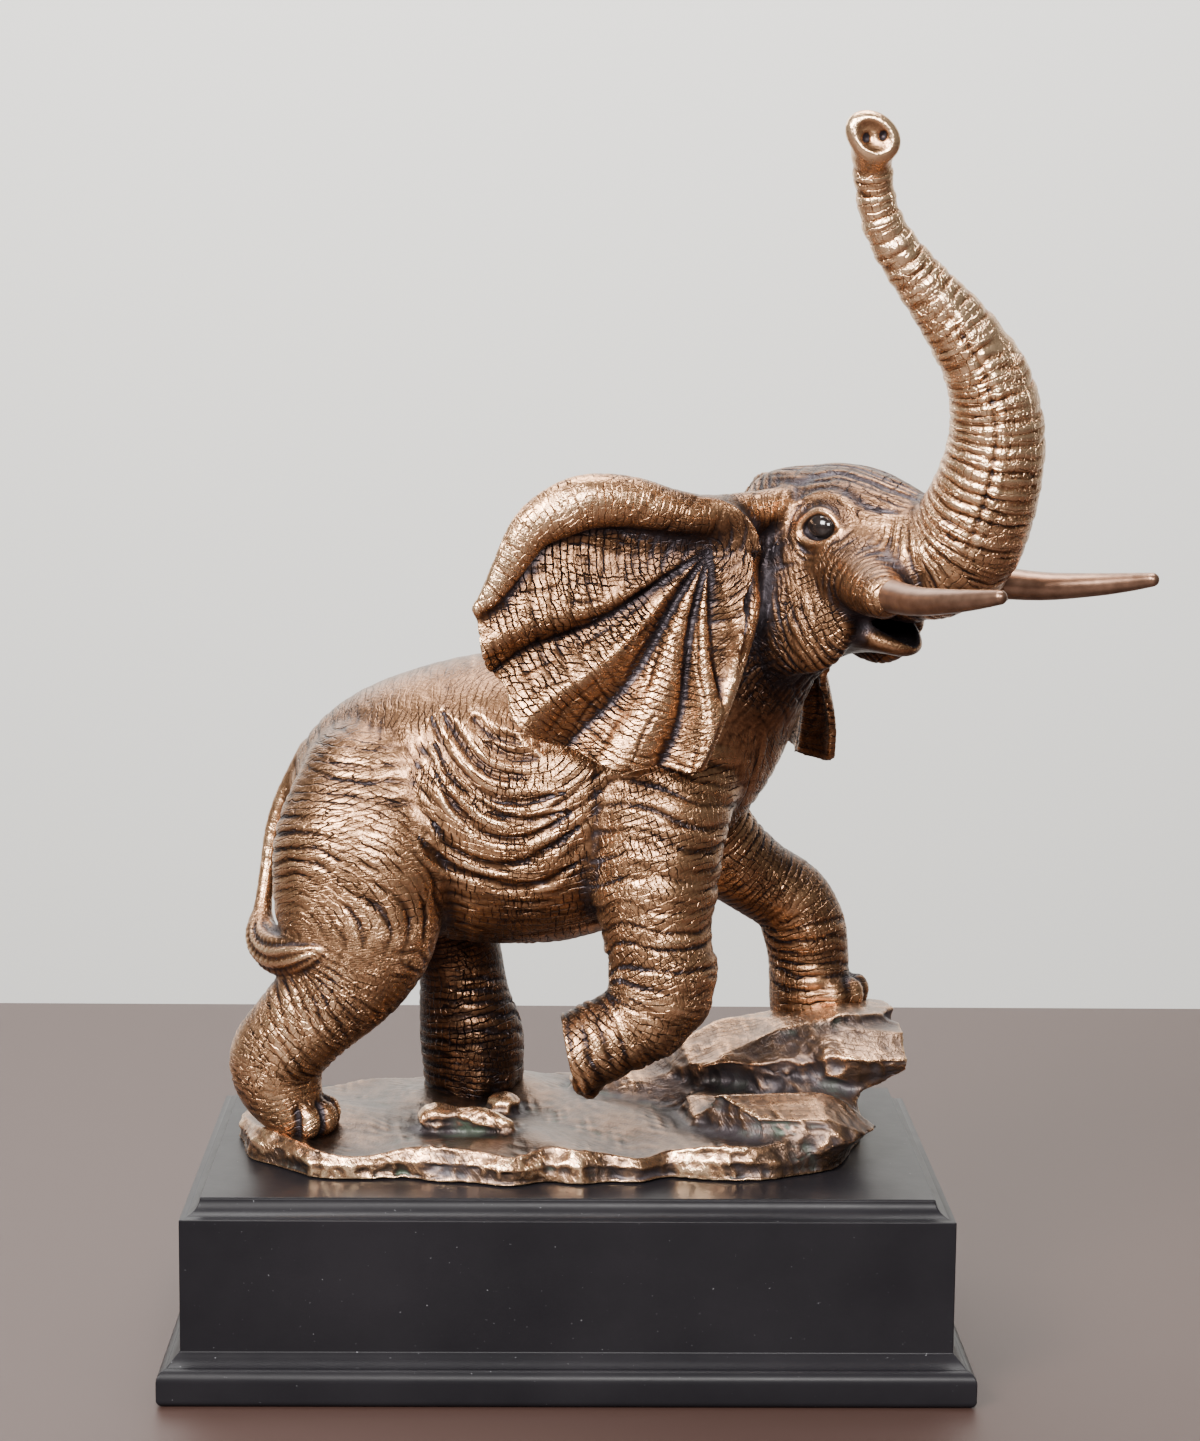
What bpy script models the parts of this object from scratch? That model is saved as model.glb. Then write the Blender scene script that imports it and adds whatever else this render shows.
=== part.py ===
"""Bronze elephant figurine on a black wooden plinth, in metres, +Z up.

The origin is the middle of the plinth's underside. The elephant strides to +X, its head is
turned to -Y and its trunk is raised. The elephant, its tusks, tail and the rock it walks on
are one casting, seated on the plinth.

The casting is modelled like clay: limbs, balls and sheets are distance fields on one grid,
melted into each other, and the skin of the lump is taken off the grid and thinned out. Its
stations are written in figure units, of which the figure is FIGURE_UNITS high, so the pose and
the proportions follow FIGURE_HEIGHT.
"""
import math

import bmesh
import bpy
import numpy as np
import openvdb

# Driving sizes, in metres
FIGURE_HEIGHT = 0.3185
PLINTH_LENGTH = 0.229
PLINTH_DEPTH = 0.136
PLINTH_HEIGHT = 0.0604
BASE_HEIGHT = 0.015
BASE_REACH = 0.0065
COVE_WIDTH = 0.0057
COVE_HEIGHT = 0.0052
SEAT_GAP = 0.0003

# The grid of the clay
FIGURE_UNITS = 318.5
UNIT = FIGURE_HEIGHT / FIGURE_UNITS
VOXEL = 1.3
CLAY_LOW = (-112, -112, -4)
CLAY_HIGH = (182, 94, 324)
FAR = 60.0
CASTING_TRIANGLES = 9500

# Stations are (x, y, z, half-depth, half-width); the width lies along the limb's side axis
TORSO = [(-70, 3, 101, 26, 17), (-60, 3, 103.5, 34.5, 26.5), (-46, 3, 107, 40.5, 33),
         (-28, 3, 108, 45, 36), (-4, 3, 111, 46.5, 36), (14, 3, 122.5, 41.5, 34),
         (29, 2, 132, 37.5, 31), (40, 0, 146, 32, 27)]
NECK = [(27, 2, 138, 33, 29), (42, -3, 154, 30, 26), (58, -9, 170, 27, 23), (72, -14, 182, 25, 21)]
NEAR_HIND_LEG = [(-58, -12, 116, 24, 18), (-62, -18, 98, 28, 20), (-64, -21, 82, 26.5, 19),
                 (-64, -23, 70, 23.5, 18), (-67, -24, 59, 18.5, 16.5), (-76, -23, 48.5, 16, 15),
                 (-84, -22, 39.5, 14.8, 14.5), (-89.5, -21, 31.5, 14.5, 14),
                 (-89, -20, 24, 13.2, 13.5), (-86, -19.5, 17, 10.5, 12.5), (-83, -19, 12, 8.5, 11)]
FAR_HIND_LEG = [(-50, 16, 112, 28, 18), (-47, 22, 90, 23, 18), (-40, 28, 70, 17, 16),
                (-35, 31, 52, 13.8, 14), (-33, 31, 36, 15, 14.5), (-31, 31, 26, 16.8, 16),
                (-30.5, 31, 18, 16.5, 16), (-31, 31, 11, 15.5, 15)]
NEAR_FORE_LEG = [(28, -15, 124, 25, 17), (27, -20, 108, 21.5, 19), (25.7, -25, 90, 19.6, 18),
                 (26.5, -28, 72, 16.3, 16), (28.5, -30, 58, 16.3, 15), (23, -31, 47, 13.6, 13.5),
                 (13, -31.5, 41.5, 12.4, 12.5), (7, -32, 38.4, 12.8, 13), (3.5, -32, 36.6, 12.6, 13)]
FAR_FORE_LEG = [(31, 18, 114, 20, 17), (38.5, 24, 101, 17.5, 16), (48, 28, 89, 15, 14.5),
                (60.5, 32, 78.5, 13, 13.5), (72, 34, 70.5, 13, 13), (76.8, 35, 61, 13.6, 12.5),
                (78.5, 36, 52, 13.2, 12.5), (79, 36, 44, 13.2, 13.5), (80, 36, 37, 14, 14)]
TORSO_MIDDLE = 3
NECK_SIDE = (-0.3, -0.95, 0)
FLANK_FOLDS = [[(-39, 139), (-33.3, 131.3), (-29.4, 126.1), (-22.5, 121.6), (-12, 120.8)],
               [(-42, 137.2), (-37.5, 127.3), (-32.4, 121.3), (-26.4, 116.1), (-15, 113.4), (-2, 116.3)],
               [(-41, 130), (-35, 119.5), (-29.4, 115.2), (-22.4, 110.1), (-12.5, 107.7), (-1, 110.8)],
               [(-40.5, 121), (-33.2, 109.7), (-26.3, 103.7), (-18.5, 101.6), (-9.5, 103.8), (0, 110)],
               [(-41.3, 106.6), (-36.2, 99.3), (-27.2, 94.5), (-17.3, 93.6), (-7.4, 98), (2.5, 105.7)],
               [(-45.8, 102.9), (-37.4, 93.8), (-27.2, 89), (-12.1, 86.5), (2, 94)],
               [(-30, 138), (-24, 133), (-15, 130.5)], [(-26, 131), (-19, 127.5), (-10, 126.5)]]
FLANK_SPACE = ((-72, -50, 76), (54, 56, 142))
FOLD_DEPTH = 1.0
FOLD_WIDTH = 1.3
TAPER = 8.0
TAIL = [(-81, 3, 122, 4, 4), (-88.3, 2.5, 109, 3.2, 3.2), (-92, 1.5, 98, 2.9, 2.9),
        (-93.8, -1, 86, 2.6, 2.6), (-95, -5, 75, 2.9, 2.9), (-95, -10, 69, 5, 4.4),
        (-92.5, -17, 66, 6.8, 5.4), (-88, -25, 65, 7, 5.6), (-82, -32, 66, 5.6, 5),
        (-77.5, -36, 67.5, 3.4, 3.4), (-75, -38, 68.5, 1.8, 1.8)]
TRUNK = [(90, -29, 186.5, 17.5, 19), (103, -40, 187, 17, 18.5), (112, -47, 191.5, 17, 17.5),
         (117, -53, 203, 16, 16), (120, -58, 216, 14.6, 14.6), (120.5, -61, 228, 13.4, 13.4),
         (117, -64.5, 242, 11.8, 11.8), (107.8, -68, 256, 9.6, 9.6), (98.2, -71, 267, 7.7, 7.7),
         (89, -74, 278, 6.4, 6.4), (84, -76, 287, 5.7, 5.7), (82, -78, 295, 5.4, 5.4),
         (81, -80.5, 301, 5.6, 5.6), (80.5, -84, 306, 5.6, 5.6)]
TRUNK_RINGS = (0.6, 7.0)
LEG_RINGS = (0.5, 8.0)
NO_RINGS = (0.0, 1.0)
TIP_AT = np.array((80.3, -87.0, 308.3))
TIP_LEAN = math.radians(33)
TIP_AXES = np.array(((math.cos(TIP_LEAN), 0, -math.sin(TIP_LEAN)), (0, -1, 0),
                     (math.sin(TIP_LEAN), 0, math.cos(TIP_LEAN)))).T
TIP_SIZE = (8.2, 3.4, 6.3)
TIP_HOLLOW = (6.3, 2.2, 4.4)
NOSTRILS = [(-1.9, 1.0), (2.6, 1.6)]
NOSTRIL_SIZE = (1.4, 4.0, 1.6)
NOSTRIL_DROP = 1.6
SOLE_AT = (-2.7, 48)
SOLE_LEAN = 0.21
SOLE_SPACE = ((-16, -52, 16), (12, -12, 60))

# The head's own axes: forward, to its near side, up
HEAD_TURN = math.radians(-45)
HEAD_AT = np.array((86.0, -25.0, 190.0))
HEAD_AXES = np.array(((math.cos(HEAD_TURN), math.sin(HEAD_TURN), 0),
                      (math.sin(HEAD_TURN), -math.cos(HEAD_TURN), 0),
                      (0, 0, 1))).T
SKULL = [((-8, 0, 2), (30, 21, 23), 10), ((4, 0, 8), (24, 16, 13), 6),
         ((-23, 7, 12), (13, 11, 11), 5), ((-23, -7, 12), (13, 11, 11), 5),
         ((-6, 17, -20), (17, 8, 17), 7), ((-6, -17, -20), (17, 8, 17), 7)]
JAW = [(-10, 0, -18, 12, 15), (0, 0, -21, 10, 14), (8, 0, -23.8, 7, 12.5), (14, 0, -26, 4.8, 10.5),
       (18, 0, -27.8, 3.3, 7), (19.8, 0, -28.2, 2.2, 3.5)]
MOUTH = [(4, 0, -15, 5, 8), (9, 0, -19, 5, 9.5), (14, 0, -21.4, 4.4, 8.5), (18, 0, -24.7, 3.2, 5),
         (20, 0, -26.4, 1.9, 2.5)]
TUSK = [(26, 24.5, -9.5, 5.2, 5.2), (44, 31, -10.2, 4.3, 4.3), (60, 35, -8.8, 3.5, 3.5),
        (71, 36.5, -7.3, 2.8, 2.8), (79, 37, -6, 2.1, 2.1)]
TUSK_SHEATH = [(8, 12, -4, 11, 11), (20, 20, -8, 9, 9), (30, 26, -10, 7, 7)]

# How softly each part melts into the lump
NECK_MELT = 10
FAR_LEG_MELT = 5
NEAR_LEG_MELT = 3.5
TAIL_MELT = 1.5
HEAD_MELT = 6
MOUTH_MELT = 1.2
TIP_MELT = 2.5
HOLLOW_MELT = 0.8
NOSTRIL_MELT = 0.5
TUSK_MELT = 0.8
EAR_MELT = 2
ROLL_MELT = 3
ROCK_MELT = 3
CLUMP_MELT = 2
TOE_MELT = 2.5

# Ears: the rim as (degrees above the rearward line, reach) and the pleats as (degrees, lift),
# which sway by so many degrees with a wave so long along them
NEAR_EAR_PIVOT = (40, -36, 190)
NEAR_EAR_REAR = (-1, 0)
NEAR_EAR_SPACE = ((-36, -66, 116), (66, -20, 222))
FAR_EAR_PIVOT = (70, 8, 188)
FAR_EAR_SIZE = 1.08
FAR_EAR_AZIMUTH = math.radians(112)
FAR_EAR_SPACE = ((20, -5, 108), (110, 94, 222))
FAR_EAR_REAR = (math.cos(FAR_EAR_AZIMUTH), math.sin(FAR_EAR_AZIMUTH))
EAR_RIM = [(-180, 12), (-125.5, 17), (-106, 32), (-95, 46), (-87.4, 65), (-78, 64.5), (-66, 69.5),
           (-56, 70.5), (-47, 75), (-39, 75.5), (-34, 71), (-28, 74), (-12.8, 69.7), (1, 60),
           (23, 45), (38.7, 27), (60, 19), (80, 15), (131, 15)]
EAR_PLEATS = [(-180, 0), (-112, 0.5), (-97, -0.5), (-87, 0.9), (-78, -0.7), (-73, 0.6), (-66, 0.8),
              (-57, -1.2), (-45, 1.3), (-38, 0.2), (-32, -1), (-26, 0.9), (-14, 0.3), (0, -0.4),
              (20, 0), (180, 0)]
RIM_EASE = 4
PLEAT_EASE = 5
PLEAT_LIFT = 5.0
PLEAT_SWAY = (2.5, 11)
EAR_HALF_THICK = 1.2
EAR_ROOT_LIFT = 2.0
EAR_SPLAY = 7.0
SHEET_SLOPE = 0.85
RIM_SLOPE = 0.8
EAR_ROLL = [(62, -27, 202, 6, 5), (48.6, -33, 200.5, 6.2, 5.5), (34, -40, 200.5, 6.1, 5.5),
            (17.6, -45, 204.5, 7.4, 6), (5, -48, 205, 8, 6), (-3.6, -50, 202.5, 8, 5.5),
            (-12.3, -51, 197, 6.5, 5), (-18.6, -51.5, 187, 5, 4), (-23.9, -52, 178, 3.4, 3),
            (-27.6, -52, 174, 2, 2)]
EAR_ROOT = [(51, -26, 197, 7, 7), (51, -28, 184, 7, 7), (47.5, -30, 169, 6.5, 6.5),
            (43, -33, 154, 5, 5), (40, -36, 144, 3.5, 3.5)]
EAR_FRONT = [(50, -31, 190, 3, 3), (53, -36, 175, 2.8, 2.8), (49, -41, 158, 2.6, 2.6),
             (43, -45, 140, 2.2, 2.2), (38, -47, 127, 1.6, 1.6)]

# Rock: the slab's rim as (degrees, reach) about its middle, and the crags as
# (x, y, z, half-length, half-depth, half-height, turn, climb to +X, seed)
SLAB_MIDDLE = (-4, 0)
SLAB_HEIGHT = 9.0
SLAB_RIM = [(-180, 101), (-165, 97), (-150, 84), (-136, 66), (-120, 56), (-105, 52), (-90, 50),
            (-70, 50), (-50, 58), (-36, 76), (-22, 90), (-8, 97), (10, 96), (25, 78), (40, 64),
            (60, 54), (90, 50), (120, 54), (150, 78), (165, 94), (180, 101)]
SLAB_SPACE = ((-112, -62, -3), (110, 66, 26))
SLAB_RIPPLES = [(1.6, 9, 0), (1.2, 17, 1)]
SLAB_HILLS = (1.6, 13, 11)
SLAB_HUMPS = (1.0, 7, 9)
SLAB_BEVEL_FROM = 0.55
CRAGS = [(78, 20, 28.5, 28, 24, 9.5, -6, 11, 3), (88.5, 4, 26, 14, 15, 9, 20, 8, 5),
         (62, 22, 20, 32, 26, 13, 4, 10, 8), (76, 20, 12, 22, 32, 14, 0, 4, 2),
         (68, -22, 9, 25, 20, 11, -14, 3, 11), (48, -8, 10, 14, 16, 7, 24, 6, 6),
         (22, 24, 10, 18, 16, 8, 10, 8, 9)]
CRAG_FACETS = 26
LOG = [(-34, -22, 12, 4, 4), (-26, -26, 13.5, 3.6, 3.6), (-19, -30, 12, 3, 3)]
MOSS = [(-40, -20, 12, 7), (52, -20, 13, 6), (-20, 6, 9, 6)]

# Toes of each foot: its middle, the toe circle's radius, the direction they face, height
FEET = [((-84, -19.5), 10, -25, 13), ((-31, 31), 12.5, -40, 13), ((84, 36), 10.5, -40, 40)]
TOE_SPREAD = 38
TOE_SIZE = 4.2


def smooth_min(first, second, blend):
    """Union of two distance fields, melted into each other over the blend width."""
    if blend <= 0:
        return np.minimum(first, second)
    near = np.maximum(blend - np.abs(first - second), 0) / blend
    return np.minimum(first, second) - near * near * blend / 4


def through(stations, steps=4):
    """Catmull-Rom curve through stations; the radii run along with the places."""
    rows = np.array(stations, float)
    rows = np.vstack((2 * rows[0] - rows[1], rows, 2 * rows[-1] - rows[-2]))
    curve = []
    for before, start, end, after in zip(rows, rows[1:], rows[2:], rows[3:]):
        for t in np.arange(steps) / steps:
            curve.append(start + 0.5 * t * (end - before
                         + t * (2 * before - 5 * start + 4 * end - after
                                + t * (3 * start - before - 3 * end + after))))
    curve.append(rows[-2])
    curve = np.array(curve)
    curve[:, 3:] = np.maximum(curve[:, 3:], 0.5)
    return curve


def tube_field(x, y, z, start, end, side, rings):
    """Distance to a tube with elliptical sections, and with rings, between two stations."""
    axis = end[:3] - start[:3]
    length = np.linalg.norm(axis)
    axis = axis / length
    side = side - axis * (side @ axis)
    side = side / np.linalg.norm(side)
    deep = np.cross(side, axis)
    px, py, pz = x - start[0], y - start[1], z - start[2]
    along = px * axis[0] + py * axis[1] + pz * axis[2]
    t = np.clip(along / length, 0, 1)
    past = along - t * length
    across = px * side[0] + py * side[1] + pz * side[2]
    down = px * deep[0] + py * deep[1] + pz * deep[2]
    half_depth = start[3] + (end[3] - start[3]) * t
    half_width = start[4] + (end[4] - start[4]) * t
    height, spacing, first = rings
    swell = height * np.cos(2 * math.pi * (first + t * length) / spacing)
    half_depth = half_depth + swell
    half_width = half_width + swell
    least = np.minimum(half_depth, half_width)
    share = np.sqrt((down / half_depth) ** 2 + (across / half_width) ** 2 + (past / least) ** 2)
    reach = np.sqrt(down ** 2 + across ** 2 + past ** 2)
    return np.where(share > 0.3, reach * (1 - 1 / np.maximum(share, 0.3)), -0.7 * least)


def ball_field(x, y, z, centre, radii, axes):
    """Distance to an ellipsoid whose axes are the columns of a matrix."""
    offset = (x - centre[0], y - centre[1], z - centre[2])
    along = [sum(part * axes[row, column] for row, part in enumerate(offset)) for column in range(3)]
    share = np.sqrt(sum((part / radius) ** 2 for part, radius in zip(along, radii)))
    reach = np.sqrt(sum(part ** 2 for part in along))
    return np.where(share > 0.3, reach * (1 - 1 / np.maximum(share, 0.3)), -0.7 * min(radii))


class Clay:
    """A lump on a grid of distances, in figure units, negative inside."""

    def __init__(self, low, high, voxel):
        self.low = np.array(low, float)
        self.voxel = voxel
        self.size = np.ceil((np.array(high) - self.low) / voxel).astype(int) + 1
        self.marks = [(self.low[k] + voxel * np.arange(self.size[k])).astype(np.float32)
                      for k in range(3)]
        self.distance = np.full(self.size, FAR, np.float32)

    def window(self, low, high):
        """Slices of the grid between two corners, and their coordinates."""
        first = np.floor((np.array(low) - self.low) / self.voxel).astype(int)
        last = np.ceil((np.array(high) - self.low) / self.voxel).astype(int) + 1
        first = np.clip(first, 0, self.size)
        last = np.clip(last, first, self.size)
        where = tuple(slice(a, b) for a, b in zip(first, last))
        x, y, z = (marks[part] for marks, part in zip(self.marks, where))
        return where, x[:, None, None], y[None, :, None], z[None, None, :]

    def add(self, where, field, blend, cut=False):
        """Melts a field into the lump, or carves it out."""
        if cut:
            self.distance[where] = -smooth_min(-self.distance[where], field, blend)
        else:
            self.distance[where] = smooth_min(self.distance[where], field, blend)

    def limb(self, stations, blend, side=(0, 1, 0), rings=NO_RINGS, cut=False):
        """Adds or carves a tube along stations, with rings of some height and spacing round it."""
        rows = through(stations)
        margin = blend + 3 * self.voxel
        girth = rows[:, 3:].max(axis=1)[:, None] + margin
        low = (rows[:, :3] - girth).min(axis=0)
        high = (rows[:, :3] + girth).max(axis=0)
        where, x, y, z = self.window(low, high)
        corner = [part.start for part in where]
        field = np.full([part.stop - part.start for part in where], FAR, np.float32)
        side = np.array(side, float)
        run = 0.0
        for start, end in zip(rows, rows[1:]):
            reach = max(start[3:].max(), end[3:].max()) + margin
            near_low = np.maximum(np.minimum(start[:3], end[:3]) - reach, low)
            near_high = np.minimum(np.maximum(start[:3], end[:3]) + reach, high)
            part, x, y, z = self.window(near_low, near_high)
            inner = tuple(slice(p.start - c, p.stop - c) for p, c in zip(part, corner))
            tube = tube_field(x, y, z, start, end, side, (*rings, run))
            field[inner] = np.minimum(field[inner], tube)
            run += np.linalg.norm(end[:3] - start[:3])
        self.add(where, field, blend, cut)

    def ball(self, centre, radii, blend, axes=np.eye(3), cut=False):
        """Adds or carves an ellipsoid."""
        reach = max(radii) + blend + 3 * self.voxel
        where, x, y, z = self.window(np.array(centre) - reach, np.array(centre) + reach)
        self.add(where, ball_field(x, y, z, centre, radii, axes), blend, cut)

    def form(self, low, high, field, blend=0.0):
        """Adds what a function of place makes between two corners."""
        where, x, y, z = self.window(low, high)
        self.add(where, field(x, y, z), blend)

    def shave(self, low, high, field):
        """Cuts away what lies outside a field between two corners."""
        where, x, y, z = self.window(low, high)
        self.distance[where] = np.maximum(self.distance[where], -field(x, y, z))

    def fold(self, low, high, height):
        """Raises and sinks the surface by a height given between two corners."""
        where, x, y, z = self.window(low, high)
        self.distance[where] -= height(x, y, z)

    def skin(self):
        """Points in figure units and four-sided faces of the lump's surface."""
        grid = openvdb.FloatGrid(FAR)
        band = 3 * self.voxel
        grid.copyFromArray(np.clip(self.distance, -band, band))
        points, quads = grid.convertToQuads(0.0)
        return points * self.voxel + self.low, quads


def on_head(forward, near, up):
    """A place given in the head's own axes."""
    return HEAD_AT + HEAD_AXES @ np.array((forward, near, up), float)


def head_stations(stations, side=1):
    """Stations given in the head's own axes, on its near (1) or far (-1) side."""
    return [(*on_head(forward, side * near, up), *radii) for forward, near, up, *radii in stations]


def sole_field(x, y, z):
    """How far a place lies behind the lifted foot's flat sole."""
    return x - SOLE_AT[0] - SOLE_LEAN * (SOLE_AT[1] - z) + 0 * y


def stroke_gap(flat, curve):
    """Distance on a plane from each point to a smooth curve through a few places, tapered out."""
    marks = through(curve)
    gap = np.full(len(flat), FAR)
    last = len(marks) - 1
    for step, (start, end) in enumerate(zip(marks, marks[1:])):
        way = end - start
        share = np.clip((flat - start) @ way / (way @ way), 0, 1)
        reach = np.linalg.norm(flat - start - share[:, None] * way, axis=1)
        done = (step + share) / last
        taper = np.clip(TAPER * done * (1 - done), 0.3, 1)
        gap = np.minimum(gap, reach / taper)
    return gap


def fold_gap(flat):
    """Distance to the nearest of the flank's grooves."""
    return np.min([stroke_gap(flat, curve) for curve in FLANK_FOLDS], axis=0)


def flank_folds(x, y, z):
    """How far the hanging folds of the flank stand out between their grooves."""
    places = np.stack(np.broadcast_arrays(x[:, 0], z[:, 0]), axis=-1)
    gap = fold_gap(places.reshape(-1, 2)).reshape(places.shape[:2])[:, None, :]
    swell = 0.4 * np.exp(-((gap - 2.4 * FOLD_WIDTH) / FOLD_WIDTH) ** 2) - np.exp(-(gap / FOLD_WIDTH) ** 2)
    return FOLD_DEPTH * swell * np.clip((np.abs(y - TORSO_MIDDLE) - 16) / 8, 0, 1)


def add_body(clay):
    """Torso, neck, legs and tail."""
    clay.limb(TORSO, 0)
    clay.limb(NECK, NECK_MELT, side=NECK_SIDE)
    clay.limb(FAR_HIND_LEG, FAR_LEG_MELT)
    clay.limb(FAR_FORE_LEG, FAR_LEG_MELT)
    clay.limb(NEAR_HIND_LEG, NEAR_LEG_MELT)
    clay.limb(NEAR_FORE_LEG, NEAR_LEG_MELT, rings=LEG_RINGS)
    clay.shave(*SOLE_SPACE, sole_field)
    clay.fold(*FLANK_SPACE, flank_folds)
    clay.limb(TAIL, TAIL_MELT)


def add_head(clay):
    """Skull, jaw, trunk and the sheaths of the tusks."""
    near_axis = HEAD_AXES[:, 1]
    for place, size, blend in SKULL:
        clay.ball(on_head(*place), size, blend, HEAD_AXES)
    clay.limb(head_stations(JAW), HEAD_MELT, near_axis)
    clay.limb(TRUNK, HEAD_MELT, near_axis, TRUNK_RINGS)
    for side in (1, -1):
        clay.limb(head_stations(TUSK_SHEATH, side), HEAD_MELT, near_axis)
    clay.limb(head_stations(MOUTH), MOUTH_MELT, near_axis, cut=True)
    add_trunk_tip(clay)


def add_trunk_tip(clay):
    """The flared tip: an oval dish with two nostrils."""
    clay.ball(TIP_AT, TIP_SIZE, TIP_MELT, TIP_AXES)
    clay.ball(TIP_AT + TIP_AXES @ (0, TIP_SIZE[1], 0), TIP_HOLLOW, HOLLOW_MELT, TIP_AXES, cut=True)
    for across, up in NOSTRILS:
        place = TIP_AT + np.array((across, -TIP_SIZE[1], up - NOSTRIL_DROP))
        clay.ball(place, NOSTRIL_SIZE, NOSTRIL_MELT, cut=True)


def add_tusks(clay):
    """Both tusks."""
    for side in (1, -1):
        clay.limb(head_stations(TUSK, side), TUSK_MELT, HEAD_AXES[:, 1])


def eased(stops, width):
    """Values at every whole degree between stops, their corners rounded over a width in degrees."""
    turns = np.arange(-180, 181)
    values = np.interp(turns, *np.array(stops, float).T)
    padded = np.pad(values, width, mode="edge")
    return turns, np.convolve(padded, np.hanning(2 * width + 1) / width, mode="valid")


def ear_field(pivot, rear, outward, size=1.0):
    """A pleated fan that spreads from its pivot to the rear and leans outward (-1 near, 1 far)."""
    rim_angles, rim_reach = eased(EAR_RIM, RIM_EASE)
    pleat_angles, pleat_heights = eased(EAR_PLEATS, PLEAT_EASE)

    def field(x, y, z):
        back = (x - pivot[0]) * rear[0] + (y - pivot[1]) * rear[1] + 0 * z
        out = outward * ((x - pivot[0]) * rear[1] - (y - pivot[1]) * rear[0]) + 0 * z
        up = z - pivot[2] + 0 * back
        reach = np.sqrt(back ** 2 + up ** 2) + 0.001
        angle = np.degrees(np.arctan2(up, back))
        rim = size * np.interp(angle, rim_angles, rim_reach)
        share = np.clip(reach / rim, 0, 1)
        swayed = angle + PLEAT_SWAY[0] * np.sin(reach / PLEAT_SWAY[1] + angle / 30)
        pleat = share * np.interp(swayed, pleat_angles, pleat_heights)
        lift = EAR_ROOT_LIFT + reach / EAR_SPLAY + PLEAT_LIFT * pleat
        flat = SHEET_SLOPE * np.abs(out - lift) - EAR_HALF_THICK
        edge = RIM_SLOPE * (reach - rim)
        outside = np.sqrt(np.maximum(flat, 0) ** 2 + np.maximum(edge, 0) ** 2)
        return outside + np.minimum(np.maximum(flat, edge), 0)

    return field


def add_ears(clay):
    """Both ears; the near one has a rolled top and a rolled front edge."""
    clay.form(*NEAR_EAR_SPACE, ear_field(NEAR_EAR_PIVOT, NEAR_EAR_REAR, -1), EAR_MELT)
    clay.limb(EAR_ROLL, ROLL_MELT)
    clay.limb(EAR_ROOT, ROLL_MELT)
    clay.limb(EAR_FRONT, EAR_MELT)
    clay.form(*FAR_EAR_SPACE, ear_field(FAR_EAR_PIVOT, FAR_EAR_REAR, 1, FAR_EAR_SIZE), EAR_MELT)


def crag_field(middle, halves, turn, climb, seed):
    """A boulder: the space behind facets that face random ways."""
    draw = np.random.default_rng(seed)
    ways = draw.normal(size=(CRAG_FACETS, 3))
    ways /= np.linalg.norm(ways, axis=1)[:, None]
    reaches = draw.uniform(0.82, 1.0, CRAG_FACETS)
    turn, climb = math.radians(turn), math.radians(climb)
    axes = np.array(((math.cos(turn) * math.cos(climb), math.sin(turn) * math.cos(climb), math.sin(climb)),
                     (-math.sin(turn), math.cos(turn), 0),
                     (-math.cos(turn) * math.sin(climb), -math.sin(turn) * math.sin(climb),
                      math.cos(climb))))

    def field(x, y, z):
        offset = (x - middle[0], y - middle[1], z - middle[2])
        local = [sum(a * b for a, b in zip(axis, offset)) / half for axis, half in zip(axes, halves)]
        share = np.full(np.broadcast(x, y, z).shape, -1.0, np.float32)
        for way, reach in zip(ways, reaches):
            share = np.maximum(share, sum(a * b for a, b in zip(way, local)) - reach)
        return share * min(halves)

    return field


def slab_field(x, y, z):
    """The ground: a low slab with a rippled, bevelled rim."""
    angles, reaches = np.array(SLAB_RIM, float).T
    east, north = x - SLAB_MIDDLE[0], y - SLAB_MIDDLE[1]
    angle = np.degrees(np.arctan2(north, east))
    rim = np.interp(angle, angles, reaches)
    for height, waves, start in SLAB_RIPPLES:
        rim = rim + height * np.sin(np.radians(waves * angle) + start)
    hills = SLAB_HILLS[0] * np.sin(x / SLAB_HILLS[1]) * np.cos(y / SLAB_HILLS[2])
    humps = SLAB_HUMPS[0] * np.sin(x / SLAB_HUMPS[1] + y / SLAB_HUMPS[2])
    top = SLAB_HEIGHT + hills + humps
    bevel = np.sqrt(east ** 2 + north ** 2) - rim + RIM_SLOPE * np.maximum(z - SLAB_BEVEL_FROM * top, 0)
    return np.maximum(z - top, SHEET_SLOPE * bevel)


def add_rock(clay):
    """Slab, crags, log stub and moss clumps."""
    clay.form(*SLAB_SPACE, slab_field)
    for x, y, z, length, depth, height, turn, climb, seed in CRAGS:
        reach = 1.15 * max(length, depth)
        field = crag_field((x, y, z), (length, depth, height), turn, climb, seed)
        clay.form((x - reach, y - reach, -3), (x + reach, y + reach, z + reach), field, ROCK_MELT)
    clay.limb(LOG, CLUMP_MELT)
    for x, y, z, size in MOSS:
        clay.ball((x, y, z), (size, size, 0.7 * size), CLUMP_MELT)


def add_feet(clay):
    """Toes round the front of each foot."""
    for (x, y), reach, facing, height in FEET:
        for step in (-1, 0, 1):
            way = math.radians(facing + step * TOE_SPREAD)
            toe = (x + reach * math.cos(way), y + reach * math.sin(way), height)
            clay.ball(toe, (TOE_SIZE, TOE_SIZE, 1.3 * TOE_SIZE), TOE_MELT)


def cut_level(clay):
    """Cuts the lump flat at its underside."""
    below = (-clay.marks[2])[None, None, :]
    clay.distance = np.maximum(clay.distance, below)


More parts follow.
